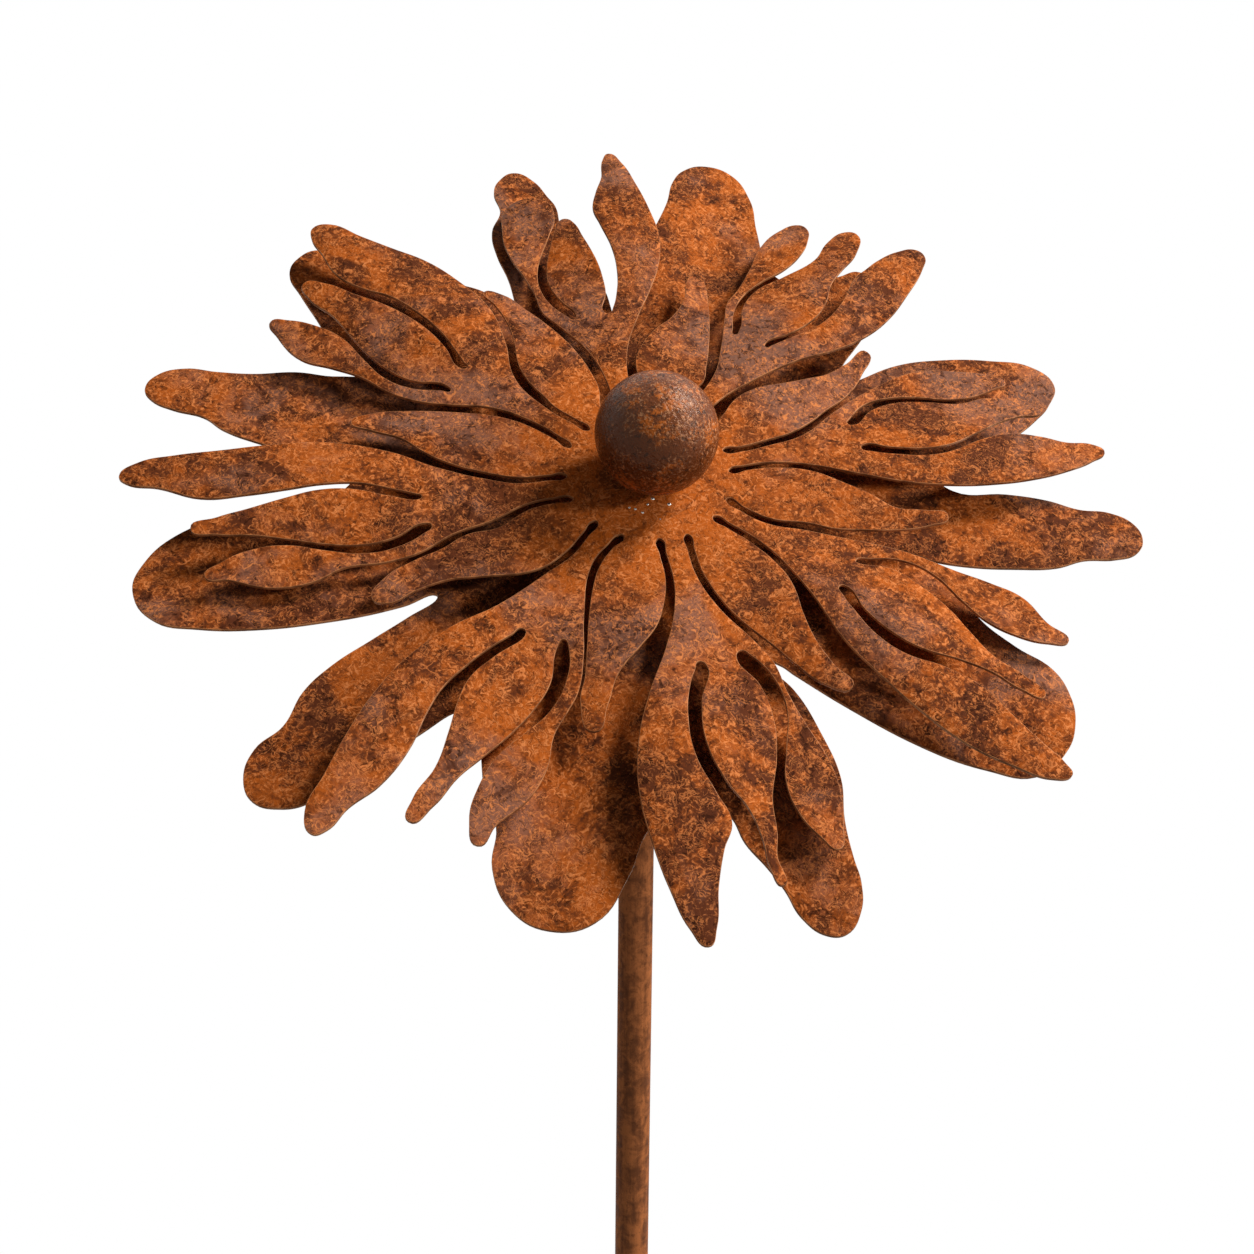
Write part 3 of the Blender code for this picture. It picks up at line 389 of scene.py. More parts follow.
def pole_rust():
    rust = Finish("rust_pole")
    streaks = rust.clouds(5.0 * MM, detail=4.0, roughness=0.6, swirl=0.3, shift=0.4, stretch=(1.0, 1.0, 0.10))
    mottle = rust.clouds(6.0 * MM, detail=5.0, roughness=0.64, swirl=0.5, shift=1.3)
    flakes = rust.clouds(1.8 * MM, detail=3.0, roughness=0.6, swirl=1.0, shift=2.2)
    orange = rust.step(0.45 * streaks + 0.55 * mottle, 0.40, 0.62)
    dark = rust.step(flakes, 0.56, 0.70)
    colour = rust.blend(orange, POLE_BROWN, POLE_ORANGE)
    colour = rust.blend(0.4 * dark, colour, RUST_DARK)
    height = rust.node("ShaderNodeSeparateXYZ", None, {"Vector": rust.place}).outputs["Z"]
    earth = rust.step(height, CLEAN_ABOVE, EARTHY_BELOW) * (0.35 + 0.8 * mottle)
    colour = rust.blend(earth, colour, EARTH)
    rust.paint({
        "Base Color": colour,
        "Roughness": 0.46 + 0.28 * mottle,
        "Specular IOR Level": 0.08,
        "Normal": rust.bump(0.6 * flakes + 0.4 * mottle, strength=0.35, depth=0.4 * MM),
    })
    return rust


rust_pole = pole_rust()

# %% [markdown]
# ## Plated and polished steel
# The nuts, washers and screws are zinc plated and have dulled, with small rust stains. The bearing rings are
# ground steel, so they are the brightest metal on the object. Both are made by one function, because only
# their colours, the size of their stains and their polish differ.

# %% Finish of the small steel pieces
ZINC_GREY = (0.47, 0.46, 0.44, 1.0)
ZINC_STAIN = (0.27, 0.14, 0.07, 1.0)
STEEL_GREY = (0.58, 0.56, 0.52, 1.0)
STEEL_OIL = (0.30, 0.27, 0.23, 1.0)


def small_steel(name, clean, stained, stain_size, low_roughness):
    steel = Finish(name)
    stain = steel.step(steel.clouds(stain_size, detail=4.0, roughness=0.62, swirl=0.6, shift=0.8), 0.50, 0.66)
    grain = steel.clouds(0.7 * MM, detail=3.0, roughness=0.55, swirl=0.0, shift=1.4)
    steel.paint({
        "Base Color": steel.blend(stain, clean, stained),
        "Roughness": low_roughness + 0.10 * grain + 0.30 * stain,
        "Metallic": 1.0 - 0.6 * stain,
        "Normal": steel.bump(grain, strength=0.15, depth=0.15 * MM),
    })
    return steel


zinc_steel = small_steel("zinc_steel", ZINC_GREY, ZINC_STAIN, stain_size=4.0 * MM, low_roughness=0.32)
bearing_steel = small_steel("bearing_steel", STEEL_GREY, STEEL_OIL, stain_size=7.0 * MM, low_roughness=0.18)

# %% [markdown]
# ## Adding a piece
# Every new piece ends the same way: its place goes into its mesh, it gets its finish, it rides on a body,
# and it stands for the plain solid of the frame. Edges sharper than a set angle stay sharp, and the rest is
# shaded smooth.

# %% add_piece
SHADE_ANGLE = math.radians(30.0)


def add_piece(name, shape, place, finishes, body, nodes):
    """Puts a shape in its place as a piece that rides on a body and stands for the named nodes."""
    bmesh.ops.transform(shape, matrix=place, verts=shape.verts)
    mesh = bpy.data.meshes.new(name)
    shape.to_mesh(mesh)
    shape.free()
    mesh.shade_smooth()
    mesh.set_sharp_from_angle(angle=SHADE_ANGLE)
    for finish in finishes:
        mesh.materials.append(finish.material)
    piece = bpy.data.objects.new(name, mesh)
    scene.collection.objects.link(piece)
    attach(piece, body)
    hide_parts(*nodes)
    mesh.calc_loop_triangles()
    print(name, "has", len(mesh.loop_triangles), "triangles and rides on", body)


# %% [markdown]
# ## The outlines of the two sheets
# The front sheet has eight lobes, each slit into three fingers, with a pointed leaf between two lobes. The
# rear sheet has six wide petals and six narrow ones. The maker cut every one of them by hand, and no two
# are alike, so each has its own points: millimetres from the axis, to the right and up the sheet as seen
# from the front, in counter-clockwise order.

# %% Points of the front sheet
FRONT_POINTS = (
    # right, middle and left finger and leaf, near 56 degrees
    (
        (24.1, 22.8), (24.6, 26.8), (32.6, 38.3), (49.0, 50.3), (71.9, 62.3), (91.4, 69.3),
        (105.2, 76.8), (118.4, 87.6), (131.0, 103.5), (141.0, 119.3), (143.3, 126.8), (139.7, 130.9),
        (130.2, 129.4), (120.1, 123.7), (112.7, 117.4), (106.8, 111.9), (98.0, 96.3), (89.9, 86.6),
        (80.3, 79.6), (69.4, 74.8), (62.1, 71.5), (59.3, 70.5),
    ),
    (
        (59.3, 73.0), (69.9, 77.5), (82.0, 85.1), (90.0, 95.3), (95.2, 108.6), (101.0, 116.7),
        (110.7, 129.3), (113.4, 142.8), (107.8, 145.0), (98.6, 138.5), (90.3, 126.4), (73.6, 116.2),
        (60.9, 109.2), (52.6, 97.3), (49.3, 83.5),
    ),
    (
        (46.5, 80.2), (46.4, 85.0), (48.0, 93.8), (53.4, 105.0), (63.9, 114.8), (75.9, 122.3),
        (84.8, 131.6), (89.9, 141.3), (91.0, 150.0), (87.6, 153.7), (77.2, 150.0), (67.2, 139.7),
        (59.2, 123.0), (51.9, 109.7), (46.0, 101.2), (43.1, 89.6), (39.2, 71.9), (33.4, 54.1),
        (15.7, 32.9), (12.1, 30.9),
    ),
    (
        (11.4, 34.4), (15.5, 43.8), (27.5, 49.5), (31.3, 60.9), (34.0, 73.7), (36.0, 87.0),
        (37.0, 100.4), (37.0, 112.6), (35.3, 120.8), (28.7, 114.0), (26.1, 102.7), (19.7, 91.0),
        (10.0, 80.9), (3.5, 71.9), (-0.2, 61.9), (2.3, 46.5), (3.0, 36.1),
    ),
    # right, middle and left finger and leaf, near 101 degrees
    (
        (0.9, 33.2), (-1.6, 36.4), (-4.0, 50.1), (-3.2, 69.1), (3.2, 88.7), (10.5, 105.7),
        (16.2, 123.5), (17.7, 140.3), (15.1, 154.8), (9.3, 174.6), (4.0, 188.1), (-1.7, 194.6),
        (-5.0, 190.2), (-6.7, 177.3), (-10.1, 167.1), (-12.2, 156.5), (-9.7, 146.7), (-5.3, 130.1),
        (-4.1, 114.4), (-5.2, 103.6), (-7.6, 94.0), (-9.3, 90.9),
    ),
    (
        (-11.6, 91.3), (-10.2, 103.1), (-10.9, 112.1), (-12.4, 121.0), (-15.0, 130.2), (-18.0, 138.7),
        (-21.5, 148.0), (-24.9, 151.4), (-28.1, 150.8), (-31.1, 143.3), (-34.0, 131.9), (-35.7, 120.3),
        (-34.8, 110.2), (-30.1, 100.2), (-24.4, 91.0),
    ),
    (
        (-25.5, 88.5), (-27.9, 90.4), (-35.1, 98.7), (-39.3, 109.1), (-39.9, 119.8), (-37.6, 130.5),
        (-33.3, 142.7), (-30.3, 154.3), (-35.0, 165.5), (-50.2, 164.6), (-54.8, 144.5), (-52.0, 130.9),
        (-46.4, 117.9), (-41.7, 104.7), (-39.1, 93.7), (-32.1, 84.8), (-20.4, 68.4), (-14.1, 52.0),
        (-12.2, 34.3), (-13.2, 30.4),
    ),
    (
        (-16.3, 32.4), (-17.6, 47.4), (-20.6, 57.1), (-25.0, 67.2), (-30.9, 77.2), (-38.6, 87.1),
        (-46.6, 95.5), (-56.1, 104.1), (-64.9, 104.6), (-60.3, 96.7), (-55.2, 85.3), (-52.7, 72.3),
        (-51.8, 61.0), (-48.2, 51.2), (-41.3, 41.8), (-37.9, 37.0), (-28.7, 29.4), (-23.1, 24.2),
    ),
    # right, middle and left finger and leaf, near 146 degrees
    (
        (-24.1, 23.0), (-30.4, 27.2), (-39.9, 34.6), (-53.2, 51.1), (-56.8, 73.4), (-63.4, 94.9),
        (-76.2, 110.0), (-89.9, 121.0), (-105.6, 128.1), (-119.4, 134.7), (-132.8, 141.5),
        (-140.6, 138.9), (-140.9, 131.4), (-136.3, 122.5), (-129.8, 110.4), (-119.1, 102.5),
        (-105.6, 96.8), (-93.2, 86.6), (-84.3, 76.5), (-78.3, 66.6), (-75.1, 60.7), (-73.5, 58.1),
    ),
    (
        (-75.9, 57.2), (-83.0, 68.7), (-90.0, 77.8), (-98.9, 85.9), (-110.4, 93.6), (-122.0, 99.2),
        (-133.6, 105.3), (-144.2, 106.1), (-141.2, 97.6), (-131.5, 88.7), (-123.8, 78.2),
        (-117.1, 69.0), (-107.7, 59.2), (-96.5, 52.3), (-83.4, 49.5),
    ),
    (
        (-81.1, 46.1), (-85.3, 46.6), (-98.4, 48.8), (-109.1, 54.9), (-117.7, 65.1), (-126.8, 76.7),
        (-137.2, 83.4), (-149.7, 87.4), (-157.9, 87.0), (-154.9, 79.4), (-144.6, 66.6), (-131.2, 61.5),
        (-119.0, 56.0), (-105.9, 46.2), (-93.8, 41.1), (-82.7, 39.0), (-63.2, 36.1), (-46.4, 27.8),
        (-36.7, 20.4), (-31.5, 14.8),
    ),
    (
        (-32.6, 13.6), (-38.5, 18.4), (-48.1, 25.2), (-54.2, 28.5), (-64.3, 32.0), (-75.8, 33.9),
        (-87.1, 35.2), (-99.6, 35.7), (-112.6, 34.4), (-122.5, 28.3), (-114.1, 23.4), (-102.4, 19.0),
        (-90.9, 9.5), (-79.9, 3.9), (-69.2, 0.8), (-54.5, -1.9), (-42.6, -0.8), (-35.0, -0.4),
    ),
    # right, middle and left finger and leaf, near 191 degrees
    (
        (-34.8, -2.0), (-42.3, -3.5), (-54.3, -5.0), (-66.6, -3.3), (-88.8, 2.8), (-106.2, 10.2),
        (-130.3, 14.8), (-153.1, 13.1), (-173.0, 10.0), (-191.2, 7.2), (-205.0, 3.4), (-211.6, -3.4),
        (-208.7, -6.8), (-196.2, -9.1), (-179.9, -13.9), (-162.3, -12.4), (-146.7, -9.8),
        (-133.0, -7.1), (-118.1, -6.3), (-104.1, -9.0), (-96.6, -10.7), (-93.9, -11.7),
    ),
    (
        (-94.7, -13.1), (-107.3, -11.8), (-121.2, -9.2), (-134.0, -9.9), (-147.6, -13.9),
        (-161.6, -18.7), (-173.3, -22.5), (-183.0, -27.3), (-172.0, -29.9), (-159.7, -30.0),
        (-146.2, -31.5), (-131.6, -33.3), (-117.5, -33.5), (-104.3, -30.2), (-93.0, -24.0),
    ),
    (
        (-90.1, -25.0), (-93.6, -28.9), (-103.8, -34.6), (-116.4, -37.3), (-131.0, -36.1),
        (-146.2, -34.1), (-159.5, -36.1), (-171.1, -41.8), (-176.8, -47.7), (-167.7, -49.2),
        (-151.9, -52.5), (-136.1, -49.9), (-124.2, -43.7), (-107.5, -41.3), (-94.8, -37.4),
        (-81.8, -29.4), (-64.8, -22.8), (-52.6, -15.8), (-40.8, -12.6), (-33.2, -12.2),
    ),
    (
        (-33.0, -13.8), (-40.5, -15.2), (-51.5, -18.7), (-63.7, -27.0), (-76.4, -29.9), (-86.2, -36.1),
        (-96.9, -41.0), (-108.5, -48.6), (-113.4, -58.7), (-107.4, -61.6), (-97.0, -56.4),
        (-83.4, -51.8), (-71.8, -51.3), (-49.5, -48.4), (-37.3, -39.3), (-29.8, -30.0), (-24.7, -24.3),
    ),
    # right, middle and left finger and leaf, near 236 degrees
    (
        (-23.5, -25.3), (-27.7, -31.7), (-35.0, -41.4), (-44.8, -49.4), (-65.6, -65.6), (-82.9, -75.1),
        (-98.1, -87.2), (-111.3, -103.2), (-121.6, -120.9), (-129.3, -137.3), (-135.6, -151.5),
        (-133.3, -159.6), (-128.2, -158.4), (-120.8, -150.0), (-109.8, -141.2), (-99.5, -127.2),
        (-92.6, -111.9), (-87.1, -102.5), (-78.1, -92.8), (-68.4, -84.2), (-60.8, -78.7),
        (-56.6, -75.8),
    ),
    (
        (-55.2, -77.4), (-67.5, -88.3), (-77.0, -97.6), (-81.9, -108.0), (-85.4, -119.7),
        (-90.4, -133.6), (-98.7, -146.1), (-100.2, -154.4), (-91.4, -148.4), (-82.3, -137.1),
        (-73.6, -129.3), (-63.6, -120.4), (-53.2, -108.9), (-46.7, -98.0), (-43.5, -83.5),
    ),
    (
        (-40.7, -80.0), (-39.1, -84.1), (-41.0, -98.1), (-47.5, -109.9), (-57.3, -118.9),
        (-67.4, -127.8), (-74.9, -139.7), (-79.0, -154.2), (-76.4, -163.1), (-69.2, -155.1),
        (-57.9, -146.3), (-50.1, -133.9), (-46.6, -120.0), (-42.0, -112.1), (-36.7, -102.8),
        (-33.8, -89.1), (-32.2, -69.4), (-27.7, -46.3), (-20.5, -36.2), (-14.5, -31.3),
    ),
    (
        (-13.4, -32.5), (-18.5, -38.0), (-24.8, -47.5), (-28.3, -58.7), (-30.5, -70.7), (-32.0, -83.1),
        (-33.6, -95.8), (-36.2, -107.6), (-32.0, -120.5), (-26.1, -109.3), (-20.9, -96.0),
        (-11.6, -84.7), (-4.7, -75.9), (-1.1, -67.1), (1.3, -53.4), (0.2, -41.6), (-0.1, -34.0),
    ),
    # right, middle and left finger and leaf, near 281 degrees
    (
        (1.5, -33.8), (2.9, -41.3), (4.4, -53.3), (3.4, -67.2), (-2.0, -85.9), (-10.7, -106.9),
        (-16.9, -128.7), (-18.1, -148.5), (-15.0, -169.6), (-10.9, -186.4), (-5.7, -200.7),
        (-0.1, -207.1), (3.4, -200.8), (6.0, -185.6), (9.8, -171.6), (14.0, -160.6), (9.7, -149.2),
        (3.8, -133.9), (3.0, -116.0), (5.3, -103.7), (8.2, -96.1), (10.0, -92.5),
    ),
    (
        (12.8, -93.9), (8.8, -111.0), (8.8, -130.1), (14.4, -145.0), (20.9, -155.1), (24.4, -167.0),
        (25.7, -178.9), (29.5, -185.1), (29.0, -173.7), (30.4, -165.0), (30.8, -150.8), (35.0, -133.9),
        (36.6, -116.7), (33.3, -101.7), (25.5, -89.2),
    ),
    (
        (27.7, -86.4), (31.7, -88.8), (39.7, -99.6), (42.4, -112.8), (39.6, -128.9), (37.2, -144.0),
        (40.2, -156.1), (47.0, -165.7), (52.9, -170.4), (56.2, -161.6), (57.6, -145.9), (54.7, -131.8),
        (48.7, -118.0), (43.7, -104.7), (40.1, -91.8), (33.5, -82.1), (21.2, -67.1), (13.8, -51.6),
        (11.8, -39.6), (11.5, -32.0),
    ),
    (
        (13.1, -31.8), (14.5, -39.3), (16.8, -50.9), (23.5, -64.7), (30.9, -74.4), (39.9, -83.4),
        (48.2, -92.7), (58.4, -102.3), (68.5, -105.1), (62.8, -94.4), (57.4, -83.1), (54.3, -71.3),
        (52.3, -58.3), (48.7, -49.3), (38.5, -36.4), (29.4, -28.7), (23.8, -23.5),
    ),
    # right, middle and left finger and leaf, near 326 degrees
    (
        (24.8, -22.3), (31.1, -26.6), (40.5, -34.1), (49.4, -44.8), (59.6, -63.3), (67.7, -82.9),
        (80.4, -101.9), (93.2, -118.2), (107.8, -132.4), (123.0, -142.4), (136.6, -148.7),
        (144.6, -147.4), (143.2, -142.5), (137.1, -134.3), (128.3, -122.0), (118.4, -108.1),
        (105.9, -99.3), (91.7, -92.9), (81.8, -83.5), (74.5, -70.3), (71.7, -63.7), (70.7, -59.2),
    ),
    (
        (73.2, -58.4), (79.5, -71.1), (88.7, -82.8), (98.1, -90.0), (113.1, -95.7), (125.0, -101.5),
        (134.1, -109.1), (143.4, -112.5), (137.2, -102.1), (127.4, -93.1), (120.6, -80.4),
        (115.4, -69.2), (106.2, -57.4), (95.4, -48.7), (81.6, -46.2),
    ),
    (
        (80.6, -45.1), (87.6, -43.6), (101.9, -44.5), (113.7, -51.8), (121.9, -63.8), (130.0, -74.8),
        (140.6, -81.9), (152.9, -85.4), (162.4, -84.1), (155.8, -75.3), (148.7, -62.7), (136.7, -55.2),
        (122.1, -48.7), (107.9, -41.9), (96.0, -37.6), (82.7, -34.4), (62.0, -29.7), (46.3, -26.5),
        (35.8, -19.9), (30.6, -14.4),
    ),
    (
        (31.6, -13.2), (37.6, -17.9), (47.6, -23.7), (64.1, -25.9), (74.8, -28.5), (87.0, -29.1),
        (99.2, -29.5), (115.6, -27.8), (123.9, -24.0), (114.0, -20.8), (102.3, -19.1), (91.4, -11.6),
        (82.3, -6.3), (68.6, 0.8), (53.3, 2.6), (41.7, 1.5), (34.2, 0.1),
    ),
    # right, middle and left finger and leaf, near 371 degrees
    (
        (33.8, 1.6), (41.0, 4.1), (53.1, 5.7), (67.7, 4.5), (88.7, -1.5), (107.5, -6.7), (128.3, -9.3),
        (147.0, -9.3), (165.0, -7.0), (181.6, -2.4), (193.3, 2.6), (200.2, 8.1), (196.4, 12.0),
        (183.8, 13.7), (174.4, 17.1), (160.1, 19.3), (146.5, 15.9), (132.4, 9.4), (120.3, 7.1),
        (106.2, 8.4), (96.6, 10.5), (93.0, 11.9),
    ),
    (
        (93.7, 14.5), (105.7, 12.7), (121.3, 11.5), (133.5, 14.0), (146.4, 20.8), (157.0, 26.7),
        (167.2, 30.7), (178.8, 33.7), (170.6, 39.7), (158.2, 43.8), (143.0, 40.6), (129.0, 41.9),
        (115.4, 41.5), (102.3, 36.5), (91.9, 27.2),
    ),
    (
        (89.8, 28.6), (91.5, 31.3), (99.1, 39.4), (109.8, 43.8), (125.2, 45.1), (140.0, 43.6),
        (151.8, 45.4), (162.1, 49.9), (168.2, 53.8), (162.0, 58.6), (147.5, 61.1), (131.3, 61.1),
        (118.7, 57.1), (107.9, 51.0), (97.1, 44.2), (85.3, 35.2), (68.3, 20.9), (52.4, 14.8),
        (40.5, 11.5), (32.9, 11.3),
    ),
    (
        (32.7, 12.9), (40.2, 14.2), (51.1, 17.7), (62.9, 22.1), (72.5, 28.2), (82.1, 36.3),
        (92.5, 44.7), (102.0, 57.7), (106.1, 69.2), (94.7, 61.9), (85.6, 56.0), (74.9, 52.6),
        (63.8, 49.8), (52.2, 47.1), (41.5, 40.6), (34.5, 31.2), (27.6, 23.5),
    ),
)
LOBES = 8
print("fingers and leaves:", len(FRONT_POINTS))

# %% Points of the rear sheet
REAR_POINTS = (
    # wide petal near 76 degrees, and the narrow one after it
    (
        (75.5, 127.0), (71.8, 137.0), (70.3, 163.0), (69.9, 185.2), (62.0, 202.1), (49.4, 205.7),
        (37.3, 200.2), (31.4, 192.0), (26.4, 175.7), (13.3, 145.7), (4.0, 113.9), (-1.0, 98.0),
    ),
    (
        (-4.0, 98.0), (-5.8, 109.0), (-7.8, 120.0), (-13.5, 132.2), (-18.1, 149.4), (-25.3, 161.7),
        (-27.5, 177.3), (-30.9, 183.9), (-37.3, 194.8), (-45.9, 199.8), (-54.4, 192.1), (-57.2, 182.4),
        (-54.7, 169.4), (-59.3, 153.0), (-57.6, 139.1), (-52.8, 124.1), (-49.2, 105.4), (-37.8, 72.3),
        (-27.8, 52.3),
    ),
    # wide petal near 136 degrees, and the narrow one after it
    (
        (-27.7, 47.5), (-32.3, 50.2), (-45.9, 87.7), (-60.9, 113.7), (-75.9, 121.9), (-102.1, 131.0),
        (-122.3, 136.6), (-139.5, 142.9), (-148.2, 135.7), (-151.7, 123.2), (-146.7, 111.0),
        (-139.1, 96.2), (-129.2, 78.0), (-117.6, 68.7),
    ),
    (
        (-116.7, 67.1), (-128.9, 65.4), (-147.6, 68.3), (-166.1, 67.6), (-181.0, 68.7), (-194.2, 70.4),
        (-205.2, 66.3), (-209.7, 57.1), (-206.4, 50.4), (-197.0, 44.8), (-184.4, 40.5), (-175.5, 32.7),
        (-159.1, 24.8), (-136.8, 16.5), (-119.6, 15.7),
    ),
    # wide petal near 196 degrees, and the narrow one after it
    (
        (-119.2, 13.1), (-129.9, -1.3), (-146.7, -7.8), (-173.0, -11.6), (-191.4, -19.5),
        (-202.5, -32.1), (-205.7, -45.9), (-195.3, -61.9), (-179.2, -66.2), (-158.9, -67.3),
        (-131.6, -63.7), (-101.5, -55.1), (-88.9, -49.7),
    ),
    (
        (-88.4, -51.2), (-99.9, -60.3), (-114.9, -71.5), (-128.9, -82.3), (-139.3, -93.5),
        (-146.2, -107.6), (-156.1, -117.0), (-159.5, -129.1), (-155.6, -138.4), (-146.3, -141.8),
        (-136.1, -140.4), (-126.0, -132.2), (-108.3, -123.6), (-95.1, -113.7), (-79.5, -103.6),
        (-69.3, -103.2),
    ),
    # wide petal near 256 degrees, and the narrow one after it
    (
        (-68.7, -105.3), (-73.1, -119.7), (-73.5, -127.7), (-72.2, -140.9), (-69.1, -150.9),
        (-71.1, -167.2), (-65.4, -183.1), (-52.3, -192.4), (-36.3, -191.1), (-23.2, -174.9),
        (-14.8, -157.5), (-7.0, -149.9), (2.0, -140.8),
    ),
    (
        (3.5, -140.1), (12.0, -146.1), (17.3, -150.1), (21.7, -161.3), (28.5, -171.2), (33.6, -180.2),
        (38.3, -191.4), (46.4, -198.7), (53.5, -198.7), (59.4, -191.2), (61.3, -180.7), (60.0, -170.0),
        (59.2, -156.0), (60.7, -138.3), (56.8, -119.1), (49.2, -97.9), (39.8, -85.8),
    ),
    # wide petal near 316 degrees, and the narrow one after it
    (
        (39.5, -84.0), (45.4, -85.7), (51.1, -90.7), (70.9, -106.7), (95.8, -123.4), (120.1, -134.8),
        (138.3, -139.2), (152.2, -130.2), (158.3, -119.0), (159.9, -106.0), (156.2, -92.7),
        (143.6, -81.1), (131.2, -63.8), (129.4, -52.9), (121.6, -42.7), (110.0, -34.8),
    ),
    (
        (111.1, -33.8), (118.3, -36.3), (131.3, -39.3), (153.5, -41.7), (171.3, -42.1), (184.2, -39.1),
        (198.1, -38.9), (208.2, -36.3), (212.3, -30.1), (210.4, -21.6), (201.2, -15.3), (187.5, -13.4),
        (174.8, -8.1), (157.4, -4.0), (134.8, -0.8), (129.1, 10.7),
    ),
    # wide petal near 376 degrees, and the narrow one after it
    (
        (131.3, 13.8), (152.4, 21.7), (172.6, 32.7), (183.4, 41.1), (191.4, 49.3), (195.9, 60.2),
        (186.4, 69.7), (167.1, 72.9), (145.5, 74.1), (123.7, 72.5), (102.2, 63.6), (92.5, 59.6),
    ),
    (
        (91.8, 61.3), (100.5, 77.5), (106.6, 85.7), (113.2, 95.1), (119.9, 109.0), (121.7, 125.2),
        (116.1, 131.2), (105.2, 127.5), (97.6, 124.5), (88.0, 123.5), (79.0, 124.5),
    ),
)
PETAL_PAIRS = 6
print("petals:", len(REAR_POINTS))

# %% Outlines from those points
front_outline = [(x * MM, y * MM) for piece in FRONT_POINTS for x, y in piece]
rear_outline = [(x * MM, y * MM) for piece in REAR_POINTS for x, y in piece]
print("outline points:", len(front_outline), "in front and", len(rear_outline), "behind")

# %% [markdown]
# ## How the sheets are bent
# Each lobe is pitched like a blade, with its clockwise side forward, and the petals behind are pitched the
# other way, so the wind turns the two sheets against each other. The tips of the rear petals are also
# cupped forward. A weak noise adds the unevenness of sheet that was bent by hand. All of it grows from the
# middle outwards, between two distances from the axis.

# %% Lift of the sheets
FIRST_LOBE_ANGLE = 56.0
FIRST_WIDE_ANGLE = 76.3
FRONT_RISE = 4.0 * MM
FRONT_BEND = (45.0 * MM, 150.0 * MM)
REAR_RISE = 2.5 * MM
REAR_CUP = 3.0 * MM
REAR_BEND = (60.0 * MM, 180.0 * MM)
UNEVENNESS = 0.5 * MM
UNEVEN_SIZE = 45.0 * MM
UNEVEN_FROM = (40.0 * MM, 90.0 * MM)


def ramp(value, start, end):
    """A smooth step from 0 to 1."""
    part = min(max((value - start) / (end - start), 0.0), 1.0)
    return part * part * (3.0 - 2.0 * part)


def uneven(point, radius):
    """The small dents of a sheet that was bent by hand."""
    return UNEVENNESS * noise.noise(point / UNEVEN_SIZE) * ramp(radius, *UNEVEN_FROM)


def front_lift(point):
    """How far the front sheet is bent forward here."""
    radius = point.to_2d().length
    turn = math.atan2(point.y, point.x) - math.radians(FIRST_LOBE_ANGLE)
    pitch = -FRONT_RISE * ramp(radius, *FRONT_BEND) * math.sin(LOBES * turn)
    return pitch + uneven(point, radius)


def rear_lift(point):
    """How far the rear sheet is bent forward here."""
    radius = point.to_2d().length
    turn = math.atan2(point.y, point.x) - math.radians(FIRST_WIDE_ANGLE)
    pitch = REAR_RISE * math.sin(2 * PETAL_PAIRS * turn)
    return (pitch + REAR_CUP) * ramp(radius, *REAR_BEND) + uneven(point, radius)


print("largest lift in front in mm:", FRONT_RISE / MM, "and behind:", (REAR_RISE + REAR_CUP) / MM)

# %% [markdown]
# ## Cutting the sheets
# A flat curve with smooth handles through the outline points is filled, as a cutter would follow a drawn
# line, and becomes a mesh. Its inner edges are dissolved, and bisect_plane then slices it into small
# squares, because a sheet of few large faces couldn't be bent smoothly. After that the faces are extruded
# to the thickness of the sheet and the sharp rim is bevelled while everything is still flat.

# %% A flat sheet from its outline
AXLE_HOLE_RADIUS = 7.0 * MM
AXLE_HOLE_POINTS = 16
OUTLINE_STEPS = 7
TINY = 0.05 * MM
FLAT_ANGLE = 0.01


def add_outline(curve, points):
    """Adds a closed smooth line through the points to a flat curve."""
    spline = curve.splines.new("BEZIER")
    spline.use_cyclic_u = True
    spline.resolution_u = OUTLINE_STEPS
    spline.bezier_points.add(len(points) - 1)
    for knot, (x, y) in zip(spline.bezier_points, points):
        knot.co = (x, y, 0.0)
        knot.handle_left_type = "AUTO"
        knot.handle_right_type = "AUTO"


def flat_sheet(outline):
    """The filled outline with the hole for the axle."""
    curve = bpy.data.curves.new("sheet_outline", "CURVE")
    curve.dimensions = "2D"
    curve.fill_mode = "BOTH"
    add_outline(curve, outline)
    turns = [2.0 * math.pi * i / AXLE_HOLE_POINTS for i in range(AXLE_HOLE_POINTS)]
    add_outline(curve, [(AXLE_HOLE_RADIUS * math.cos(t), AXLE_HOLE_RADIUS * math.sin(t)) for t in turns])
    guide = bpy.data.objects.new("sheet_outline", curve)
    scene.collection.objects.link(guide)
    graph = bpy.context.evaluated_depsgraph_get()
    mesh = bpy.data.meshes.new_from_object(guide.evaluated_get(graph))
    bpy.data.objects.remove(guide, do_unlink=True)
    shape = bmesh.new()
    shape.from_mesh(mesh)
    bpy.data.meshes.remove(mesh)
    bmesh.ops.remove_doubles(shape, verts=shape.verts, dist=TINY)
    inner = [edge for edge in shape.edges if not edge.is_boundary]
    bmesh.ops.dissolve_limit(shape, angle_limit=FLAT_ANGLE, verts=[], edges=inner)
    return shape


# %% Slicing a sheet into squares
SLICE = 7.0 * MM
SHEET_REACH = 224.0 * MM
SLICE_SNAP = TINY / 10


